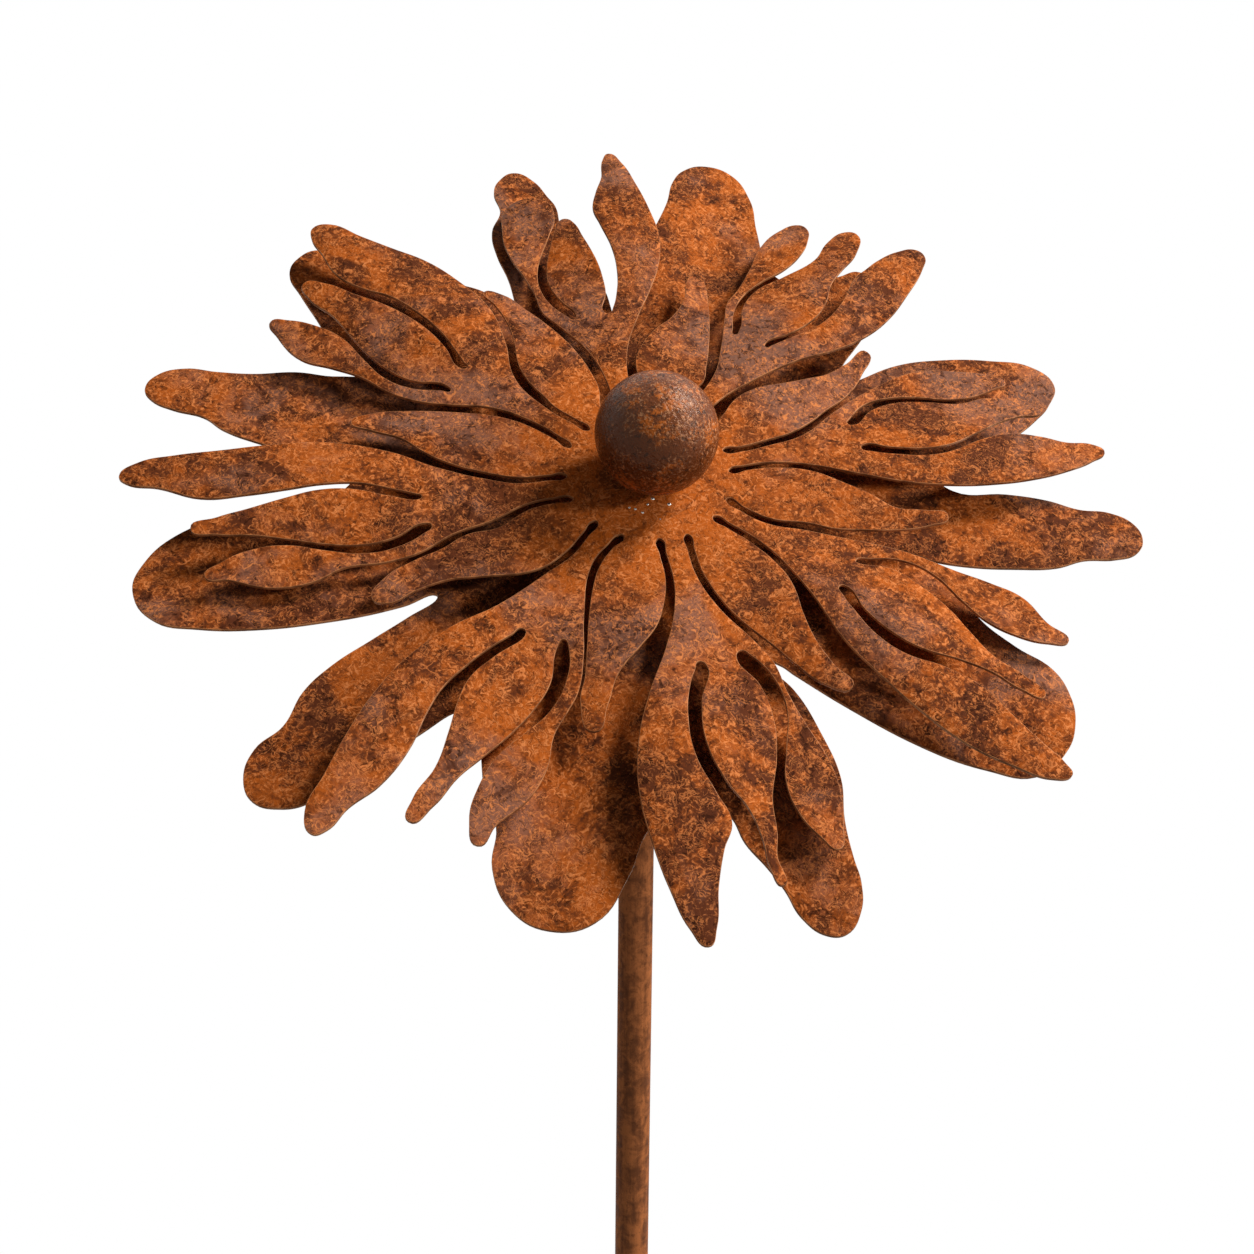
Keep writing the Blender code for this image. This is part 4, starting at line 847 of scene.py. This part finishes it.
def slice_sheet(shape):
    """Cuts the sheet along a square grid, and then into triangles."""
    count = int(SHEET_REACH / SLICE)
    for normal in (Vector((1.0, 0.0, 0.0)), Vector((0.0, 1.0, 0.0))):
        for i in range(-count, count + 1):
            everything = shape.verts[:] + shape.edges[:] + shape.faces[:]
            bmesh.ops.bisect_plane(
                shape, geom=everything, dist=SLICE_SNAP, plane_co=normal * SLICE * i, plane_no=normal
            )
    bmesh.ops.triangulate(shape, faces=shape.faces, quad_method="BEAUTY", ngon_method="BEAUTY")


# %% Giving a sheet its thickness
SHEET_THICKNESS = 1.5 * MM
RIM_BEVEL = 0.2 * MM
WALL_SLOPE = 0.5
FACE_SLOPE = 0.97


def thicken_sheet(shape):
    """Extrudes the sheet, bevels its rim and gives its walls and bevels the second finish."""
    made = bmesh.ops.extrude_face_region(shape, geom=shape.faces[:], use_keep_orig=True)
    raised = [item for item in made["geom"] if isinstance(item, bmesh.types.BMVert)]
    bmesh.ops.translate(shape, verts=raised, vec=(0.0, 0.0, SHEET_THICKNESS))
    bmesh.ops.translate(shape, verts=shape.verts, vec=(0.0, 0.0, -SHEET_THICKNESS / 2))
    bmesh.ops.recalc_face_normals(shape, faces=shape.faces)
    for face in shape.faces:
        face.material_index = int(abs(face.normal.z) < WALL_SLOPE)
    rims = [edge for edge in shape.edges if len({face.material_index for face in edge.link_faces}) == 2]
    bmesh.ops.bevel(
        shape, geom=rims, offset=RIM_BEVEL, offset_type="OFFSET", affect="EDGES", segments=2,
        profile=0.5, material=-1, clamp_overlap=False,
    )
    for face in shape.faces:
        face.material_index = int(abs(face.normal.z) < FACE_SLOPE)


# %% A finished sheet
def cut_sheet(outline, lift):
    """A sheet of full thickness from its outline, bent by the function lift."""
    shape = flat_sheet(outline)
    area = sum(face.calc_area() for face in shape.faces)
    slice_sheet(shape)
    sliced_area = sum(face.calc_area() for face in shape.faces)
    print("sheet of", round(area, 5), "m2, sliced into", len(shape.faces), "faces of", round(sliced_area, 5))
    thicken_sheet(shape)
    for vert in shape.verts:
        vert.co.z += lift(vert.co)
    return shape


# %% Front and rear sheets
add_piece(
    "front_sheet", cut_sheet(front_outline, front_lift), front_place, [rust_sheet, rust_edge_and_highlight],
    "front_rotor", ["front_flower_plate"],
)
add_piece(
    "rear_sheet", cut_sheet(rear_outline, rear_lift), rear_place, [rust_sheet, rust_edge_and_highlight],
    "rear_rotor", ["rear_petal_plate"],
)

# %% [markdown]
# ## The ball
# The ball is two pressed half shells that were welded and ground, and it is screwed onto the end of the
# axle. It is one profile spun round the axis: down the outer wall, across the flat foot to the bore, and
# back up the inner wall.

# %% Spinning a profile
ROUND_STEPS = 64
MERGE = 0.001 * MM


def spun(profile, steps):
    """A profile of (radius, height) points, spun round Z. The profile of a ring is closed first."""
    shape = bmesh.new()
    verts = [shape.verts.new((radius, 0.0, height)) for radius, height in profile]
    edges = [shape.edges.new(pair) for pair in zip(verts, verts[1:])]
    if min(radius for radius, height in profile) > 0.0:
        edges.append(shape.edges.new((verts[-1], verts[0])))
    bmesh.ops.spin(
        shape, geom=verts + edges, cent=(0.0, 0.0, 0.0), axis=(0.0, 0.0, 1.0), dvec=(0.0, 0.0, 0.0),
        angle=2.0 * math.pi, steps=steps, use_merge=True, use_duplicate=False,
    )
    bmesh.ops.remove_doubles(shape, verts=shape.verts, dist=MERGE)
    bmesh.ops.recalc_face_normals(shape, faces=shape.faces)
    return shape


# %% Centre ball
BALL_RADIUS = 25.0 * MM
BALL_WALL = 1.5 * MM
BALL_FOOT = 1.8 * MM
BALL_FOOT_RADIUS = 5.6 * MM
BALL_BORE = 4.3 * MM
BALL_STEPS = 40

ball_centre = BALL_FOOT + math.sqrt(BALL_RADIUS**2 - BALL_FOOT_RADIUS**2)
outer_end = math.pi - math.asin(BALL_FOOT_RADIUS / BALL_RADIUS)
inner_end = math.pi - math.asin(BALL_BORE / (BALL_RADIUS - BALL_WALL))


def ball_wall(radius, end):
    """Points of a wall of the ball, from its top down to the angle end."""
    turns = [end * i / BALL_STEPS for i in range(BALL_STEPS + 1)]
    return [(radius * math.sin(turn), ball_centre + radius * math.cos(turn)) for turn in turns]


inner_wall = ball_wall(BALL_RADIUS - BALL_WALL, inner_end)
ball_profile = ball_wall(BALL_RADIUS, outer_end) + [(BALL_BORE, BALL_FOOT)] + inner_wall[::-1]
add_piece(
    "ball", spun(ball_profile, ROUND_STEPS), front_place, [rust_ball], "stand", ["centre_ball"],
)

# %% [markdown]
# A few bright grains lie on the front sheet under the ball, where it was ground after rusting. They are small
# flattened beads, pressed into the sheet and scattered on the side that faces down. Each row has a distance
# from the axis in millimetres, an angle in degrees and a radius in millimetres.

# %% Bright grains
GRAINS = (
    (13.4, 270.5, 0.70), (17.6, 292.1, 0.80), (21.0, 256.8, 0.55), (20.2, 247.7, 0.55), (20.5, 240.8, 0.45),
    (16.5, 262.0, 0.50), (24.0, 275.0, 0.35),
)
GRAIN_FLATNESS = 0.5
grains_shape = bmesh.new()
for radius, angle, size in GRAINS:
    turn = math.radians(angle)
    place = Matrix.Translation((
        radius * MM * math.cos(turn), radius * MM * math.sin(turn), SHEET_THICKNESS / 2,
    ))
    squeeze = Matrix.Diagonal((1.0, 1.0, GRAIN_FLATNESS, 1.0))
    bmesh.ops.create_icosphere(grains_shape, subdivisions=2, radius=size * MM, matrix=place @ squeeze)
add_piece(
    "bright_grains", grains_shape, front_place, [bearing_steel], "front_rotor", [],
)

# %% [markdown]
# ## The hubs
# Behind each sheet a flanged hub holds a small ball bearing. It is a ring profile spun round the axis, its
# sharp edges are bevelled, and a weld bead with small ripples runs round the flange.

# %% Rounding sharp edges
EDGE_ROUNDING = 0.4 * MM
SHARP_ANGLE = math.radians(40.0)


def round_edges(shape, width=EDGE_ROUNDING, segments=2):
    """Bevels every edge between two faces that meet at a sharp angle."""
    sharp = [edge for edge in shape.edges if edge.is_manifold]
    sharp = [edge for edge in sharp if edge.calc_face_angle() > SHARP_ANGLE]
    bmesh.ops.bevel(
        shape, geom=sharp, offset=width, offset_type="OFFSET", affect="EDGES", segments=segments,
        profile=0.5, material=-1, clamp_overlap=True,
    )


# %% Weld bead
BEAD_STEPS = 96
BEAD_SIDES = 8
RIPPLE_HEIGHT = 0.14
WAVER_HEIGHT = 0.10
WAVERS = 7.0


def add_weld_bead(shape, ring_radius, bead_radius, height, ripples):
    """A rippled ring of weld metal, added to the shape."""
    sides = [2.0 * math.pi * i / BEAD_SIDES for i in range(BEAD_SIDES)]
    bead = spun([
        (ring_radius + bead_radius * math.cos(side), height + bead_radius * math.sin(side)) for side in sides
    ], BEAD_STEPS)
    for vert in bead.verts:
        turn = math.atan2(vert.co.y, vert.co.x)
        middle = Vector((ring_radius * math.cos(turn), ring_radius * math.sin(turn), height))
        swell = 1.0 + RIPPLE_HEIGHT * math.sin(ripples * turn) + WAVER_HEIGHT * math.sin(WAVERS * turn)
        vert.co = middle + (vert.co - middle) * swell
    mesh = bpy.data.meshes.new("bead")
    bead.to_mesh(mesh)
    bead.free()
    shape.from_mesh(mesh)
    bpy.data.meshes.remove(mesh)


# %% Hubs
HUB_TOP = -1.05 * MM
HUB_FLANGE = 2.0 * MM
HUB_FLANGE_RADIUS = 28.0 * MM
HUB_BARREL_RADIUS = 12.0 * MM
HUB_BOTTOM = -8.15 * MM
HUB_LIP_TOP = -6.65 * MM
HUB_LIP_RADIUS = 6.8 * MM
HUB_BORE = 8.3 * MM
hub_profile = (
    (HUB_FLANGE_RADIUS, HUB_TOP), (HUB_FLANGE_RADIUS, HUB_TOP - HUB_FLANGE),
    (HUB_BARREL_RADIUS, HUB_TOP - HUB_FLANGE), (HUB_BARREL_RADIUS, HUB_BOTTOM),
    (HUB_LIP_RADIUS, HUB_BOTTOM), (HUB_LIP_RADIUS, HUB_LIP_TOP), (HUB_BORE, HUB_LIP_TOP), (HUB_BORE, HUB_TOP),
)
for side, place in (("front", front_place), ("rear", rear_place)):
    hub_shape = spun(hub_profile, ROUND_STEPS)
    round_edges(hub_shape)
    add_weld_bead(
        hub_shape, ring_radius=HUB_FLANGE_RADIUS + 0.4 * MM, bead_radius=1.1 * MM,
        height=-1.6 * MM, ripples=60,
    )
    add_piece(
        side + "_flanged_hub", hub_shape, place, [rust_sheet], side + "_rotor", [side + "_hub"],
    )

# %% [markdown]
# ## The pole
# Two tubes on a rod inside them make the pole. The upper tube is cut square to the leaning axis, so
# bisect_plane trims a tube that is too long, and bridge_loops closes the wall between its two cut rings. A
# thin cap of the same slanted shape covers the cut and carries the axle.

# %% Tubes
POLE_RADIUS = 8.0 * MM
POLE_BORE = 6.5 * MM
POLE_SEAM = 450.0 * MM
POLE_TOP = 1032.0 * MM
SEAM_GAP = 0.15 * MM
TUBE_STEPS = 48
CUT_ALONG_AXIS = -30.55 * MM
STILL = Matrix.Identity(4)


def trim(shape, along_axis, direction):
    """Removes what lies past a plane square to the leaning axis, on the side that direction points to."""
    everything = shape.verts[:] + shape.edges[:] + shape.faces[:]
    bmesh.ops.bisect_plane(
        shape, geom=everything, dist=MERGE, plane_co=front_centre + axis * along_axis,
        plane_no=axis * direction, clear_outer=True,
    )
    return [edge for edge in shape.edges if edge.is_boundary]


def tube(bottom, top):
    """A round tube of the pole, between two heights."""
    profile = ((POLE_RADIUS, top), (POLE_RADIUS, bottom), (POLE_BORE, bottom), (POLE_BORE, top))
    return spun(profile, TUBE_STEPS)


lower_tube_shape = tube(2 * SEAM_GAP, POLE_SEAM - SEAM_GAP)
round_edges(lower_tube_shape)
add_piece("lower_tube", lower_tube_shape, STILL, [rust_pole], "stand", ["lower_pole"])

upper_tube_shape = tube(POLE_SEAM + SEAM_GAP, POLE_TOP)
bmesh.ops.bridge_loops(upper_tube_shape, edges=trim(upper_tube_shape, CUT_ALONG_AXIS, 1.0))
bmesh.ops.recalc_face_normals(upper_tube_shape, faces=upper_tube_shape.faces)
round_edges(upper_tube_shape)
add_piece("upper_tube", upper_tube_shape, STILL, [rust_pole], "stand", ["upper_pole"])

# %% Slanted cap
CAP_TOP = -28.25 * MM
CAP_BOTTOM = -30.25 * MM
cap_profile = ((0.0, POLE_TOP), (POLE_RADIUS, POLE_TOP), (POLE_RADIUS, POLE_SEAM), (0.0, POLE_SEAM))
cap_shape = spun(cap_profile, TUBE_STEPS)
for along_axis, direction in ((CAP_TOP, 1.0), (CAP_BOTTOM, -1.0)):
    bmesh.ops.edgeloop_fill(cap_shape, edges=trim(cap_shape, along_axis, direction))
bmesh.ops.recalc_face_normals(cap_shape, faces=cap_shape.faces)
round_edges(cap_shape)
add_piece("slanted_cap", cap_shape, STILL, [rust_pole], "stand", ["pole_cap"])

# %% [markdown]
# ## Screws and the jam nut
# Round-headed screws at the back hold the tubes to the rods inside. A screw is one spun profile that dips
# into a socket on top, and the points on the wall of the socket are moved out to a hexagon. The dome of the
# head is given by radius and by drop below the top. The nut is a six-sided prism with bevelled rims.

# %% Shape of a screw
SCREW_STEPS = 24
SCREW_HEAD_RADIUS = 4.5 * MM
SCREW_HEAD_BASE = 8.3 * MM
SCREW_HEAD_TOP = 10.9 * MM
SCREW_HEAD_WALL = 0.7 * MM
SCREW_DOME = ((3.3 * MM, 0.45 * MM), (4.1 * MM, 1.1 * MM))
SCREW_SHANK_RADIUS = 2.5 * MM
SCREW_SHANK_END = 2.5 * MM
SOCKET_RADIUS = 1.5 * MM
SOCKET_RIM_RADIUS = 2.2 * MM
SOCKET_DEPTH = 1.4 * MM
SOCKET_CHAMFER = 0.1 * MM


def hexagon_radius(turn, inner_radius):
    """The distance from the middle to the side of a hexagon, at an angle."""
    within = (turn % math.radians(60.0)) - math.radians(30.0)
    return inner_radius / math.cos(within)


def screw_shape():
    """A screw along Z, with its head up and its shank down."""
    dome = [(radius, SCREW_HEAD_TOP - drop) for radius, drop in SCREW_DOME]
    shape = spun((
        (0.0, SCREW_HEAD_TOP - SOCKET_DEPTH), (SOCKET_RADIUS, SCREW_HEAD_TOP - SOCKET_DEPTH),
        (SOCKET_RADIUS, SCREW_HEAD_TOP - SOCKET_CHAMFER), (SOCKET_RIM_RADIUS, SCREW_HEAD_TOP), *dome,
        (SCREW_HEAD_RADIUS, SCREW_HEAD_BASE + SCREW_HEAD_WALL), (SCREW_HEAD_RADIUS, SCREW_HEAD_BASE),
        (SCREW_SHANK_RADIUS, SCREW_HEAD_BASE), (SCREW_SHANK_RADIUS, SCREW_SHANK_END), (0.0, SCREW_SHANK_END),
    ), SCREW_STEPS)
    for vert in shape.verts:
        radius = vert.co.to_2d().length
        in_socket = vert.co.z > SCREW_HEAD_BASE and abs(radius - SOCKET_RADIUS) < TINY
        if in_socket:
            factor = hexagon_radius(math.atan2(vert.co.y, vert.co.x), SOCKET_RADIUS) / radius
            vert.co.x *= factor
            vert.co.y *= factor
    return shape


# %% Screws
SCREW_HEIGHTS = {"spike_screw": 40.0 * MM, "joiner_screw_lower": 420.0 * MM, "joiner_screw_upper": 480.0 * MM}
for name, height in SCREW_HEIGHTS.items():
    backwards = Matrix.Translation((0.0, 0.0, height)) @ Matrix.Rotation(-math.pi / 2, 4, "X")
    add_piece(name + "_socket_head", screw_shape(), backwards, [zinc_steel], "stand", [name])

# %% Jam nut
NUT_HALF_WIDTH = 6.5 * MM
NUT_SIDES = 6
NUT_CORNER_RADIUS = NUT_HALF_WIDTH / math.cos(math.radians(30.0))
NUT_TOP = -23.95 * MM
NUT_HEIGHT = 4.0 * MM
NUT_BEVEL = 0.5 * MM
nut_shape = bmesh.new()
bmesh.ops.create_cone(
    nut_shape, cap_ends=True, segments=NUT_SIDES, radius1=NUT_CORNER_RADIUS, radius2=NUT_CORNER_RADIUS,
    depth=NUT_HEIGHT, matrix=Matrix.Translation((0.0, 0.0, NUT_TOP - NUT_HEIGHT / 2)),
)
round_edges(nut_shape, NUT_BEVEL)
add_piece("bevelled_nut", nut_shape, front_place, [zinc_steel], "stand", ["jam_nut"])

# %% [markdown]
# ## The ground fork
# A pointed rod goes into the soil, with a step bar for a foot and two shorter prongs that stop the pole from
# turning. Weld collars join them. The forms are plain, so spun profiles and a bevelled bar are enough, and
# the finish adds the earth stain below the soil line. The rows of a point are shares of the radius of its
# rod and of the length of the point.

# %% Spike and prongs
SPIKE_RADIUS = 6.2 * MM
SPIKE_TOP = 70.0 * MM
SPIKE_TIP = -200.0 * MM
SPIKE_POINT = 45.0 * MM
PRONG_RADIUS = 4.0 * MM
PRONG_OFFSET = 55.0 * MM
PRONG_TIP = -140.0 * MM
PRONG_POINT = 25.0 * MM
PRONG_GAP = 0.3 * MM
BAR_SIZE = Vector((130.0, 22.0, 5.0)) * MM
ROD_STEPS = 32
POINT_SHAPE = ((1.0, 1.0), (0.55, 0.45), (0.12, 0.02))


def pointed_rod(radius, top, tip, point):
    """A rod with a point of the given length at its lower end."""
    taper = [(width * radius, tip + height * point) for width, height in POINT_SHAPE]
    return spun(((0.0, top), (radius, top), *taper, (0.0, tip)), ROD_STEPS)


spike_shape = pointed_rod(SPIKE_RADIUS, SPIKE_TOP, SPIKE_TIP, SPIKE_POINT)
add_weld_bead(
    spike_shape, ring_radius=SPIKE_RADIUS + 0.7 * MM, bead_radius=1.4 * MM,
    height=-BAR_SIZE.z - 0.6 * MM, ripples=22,
)
add_piece("spike_rod", spike_shape, STILL, [rust_pole], "stand", ["ground_spike"])
for side, offset_x in (("left", -PRONG_OFFSET), ("right", PRONG_OFFSET)):
    prong_shape = pointed_rod(PRONG_RADIUS, -BAR_SIZE.z - PRONG_GAP, PRONG_TIP, PRONG_POINT)
    add_weld_bead(
        prong_shape, ring_radius=PRONG_RADIUS + 0.5 * MM, bead_radius=1.2 * MM,
        height=-BAR_SIZE.z - 0.7 * MM, ripples=18,
    )
    beside = Matrix.Translation((offset_x, 0.0, 0.0))
    add_piece(
        "prong_" + side, prong_shape, beside, [rust_pole], "stand", ["side_prong_" + side],
    )

# %% Step bar
BAR_ROUNDING = 1.2 * MM
bar_shape = bmesh.new()
bmesh.ops.create_cube(bar_shape, size=1.0)
bmesh.ops.scale(bar_shape, verts=bar_shape.verts, vec=BAR_SIZE)
bmesh.ops.translate(bar_shape, verts=bar_shape.verts, vec=(0.0, 0.0, -BAR_SIZE.z / 2))
round_edges(bar_shape, BAR_ROUNDING, segments=3)
add_piece("foot_bar", bar_shape, STILL, [rust_pole], "stand", ["step_bar"])

# %% [markdown]
# ## Light, floor and background
# The shadows lie below and to the left of the fingers, so the main lamp stands above and to the right. The
# highlight on the ball and the bright side of the pole come from a second, weaker lamp at the right. Each
# lamp is a soft disc, placed by how far right, up and towards the camera it stands. An even white surround
# fills the shadows. The background of the picture is white: the world shows full white to the camera and in
# reflections, and lights the object with less. The pale floor lies at the tip of the ground spike and keeps
# the shadow of the object.

# %% Lamps
LAMP_DISTANCE = 1.7


def add_lamp(name, size, level, right, up, nearer):
    """A soft disc of light at LAMP_DISTANCE from the flower. A level of 1 lights a facing white to white."""
    data = bpy.data.lights.new(name, "AREA")
    data.shape = "DISK"
    data.size = size
    data.energy = level * math.pi**2 * LAMP_DISTANCE**2
    lamp = bpy.data.objects.new(name, data)
    towards_lamp = (right * view_right + up * view_up - nearer * ahead).normalized()
    lamp.location = front_centre + LAMP_DISTANCE * towards_lamp
    lamp.rotation_mode = "QUATERNION"
    lamp.rotation_quaternion = towards_lamp.to_track_quat("Z", "Y")
    scene.collection.objects.link(lamp)
    print(name, "of", round(data.energy, 1), "W at", [round(value, 2) for value in lamp.location])


add_lamp("main_lamp", size=0.55, level=1.18, right=0.64, up=0.74, nearer=0.20)
add_lamp("side_lamp", size=0.25, level=0.44, right=0.88, up=0.19, nearer=0.44)

# %% World
SURROUND = 0.15
WHITE = (1.0, 1.0, 1.0, 1.0)
world = bpy.data.worlds.new("white_surround")
world.use_nodes = True
scene.world = world
surround = Nodes(world.node_tree)
light_path = surround.node("ShaderNodeLightPath")
seen = Value(surround, light_path.outputs["Is Camera Ray"])
for ray in ("Is Glossy Ray", "Is Transmission Ray"):
    seen = seen.math("MAXIMUM", seen, light_path.outputs[ray])
background = world.node_tree.nodes["Background"]
surround.feed(background.inputs["Color"], WHITE)
surround.feed(background.inputs["Strength"], SURROUND + (1.0 - SURROUND) * seen)
scene.view_settings.view_transform = "Standard"
print("surround level", SURROUND)

# %% Floor
FLOOR_RADIUS = 0.6
FLOOR_STEPS = 96
FLOOR_PALE = (0.8, 0.8, 0.79, 1.0)
FLOOR_ROUGHNESS = 0.8
floor_shape = bmesh.new()
bmesh.ops.create_circle(floor_shape, cap_ends=True, segments=FLOOR_STEPS, radius=FLOOR_RADIUS)
bmesh.ops.translate(floor_shape, verts=floor_shape.verts, vec=(0.0, 0.0, cad_low.z))
floor_mesh = bpy.data.meshes.new("floor")
floor_shape.to_mesh(floor_mesh)
floor_shape.free()
floor_finish = Finish("pale_floor")
floor_finish.paint({"Base Color": FLOOR_PALE, "Roughness": FLOOR_ROUGHNESS})
floor_mesh.materials.append(floor_finish.material)
floor = bpy.data.objects.new("floor", floor_mesh)
scene.collection.objects.link(floor)
print("floor at a height of", round(cad_low.z, 4), "m")

# %% [markdown]
# ## Solids that stay
# The axle, the washer, the spacers, the bearing rings, the nut inside the ball and the joiner inside the pole
# are plain or hidden, so they keep their solids. Each gets the finish that its slot names.

# %% Finish of the solids that stay
NODE_FINISH = {
    "rust_sheet": rust_sheet, "rust_ball": rust_ball, "rust_pole": rust_pole,
    "bearing_steel": bearing_steel, "zinc_steel": zinc_steel,
}
kept = [node for node in frame["nodes"].values() if not node.hide_render]
for node in kept:
    for slot in node.material_slots:
        slot.material = NODE_FINISH[slot.material.name].material
print("solids that stay:", [node.name for node in kept])
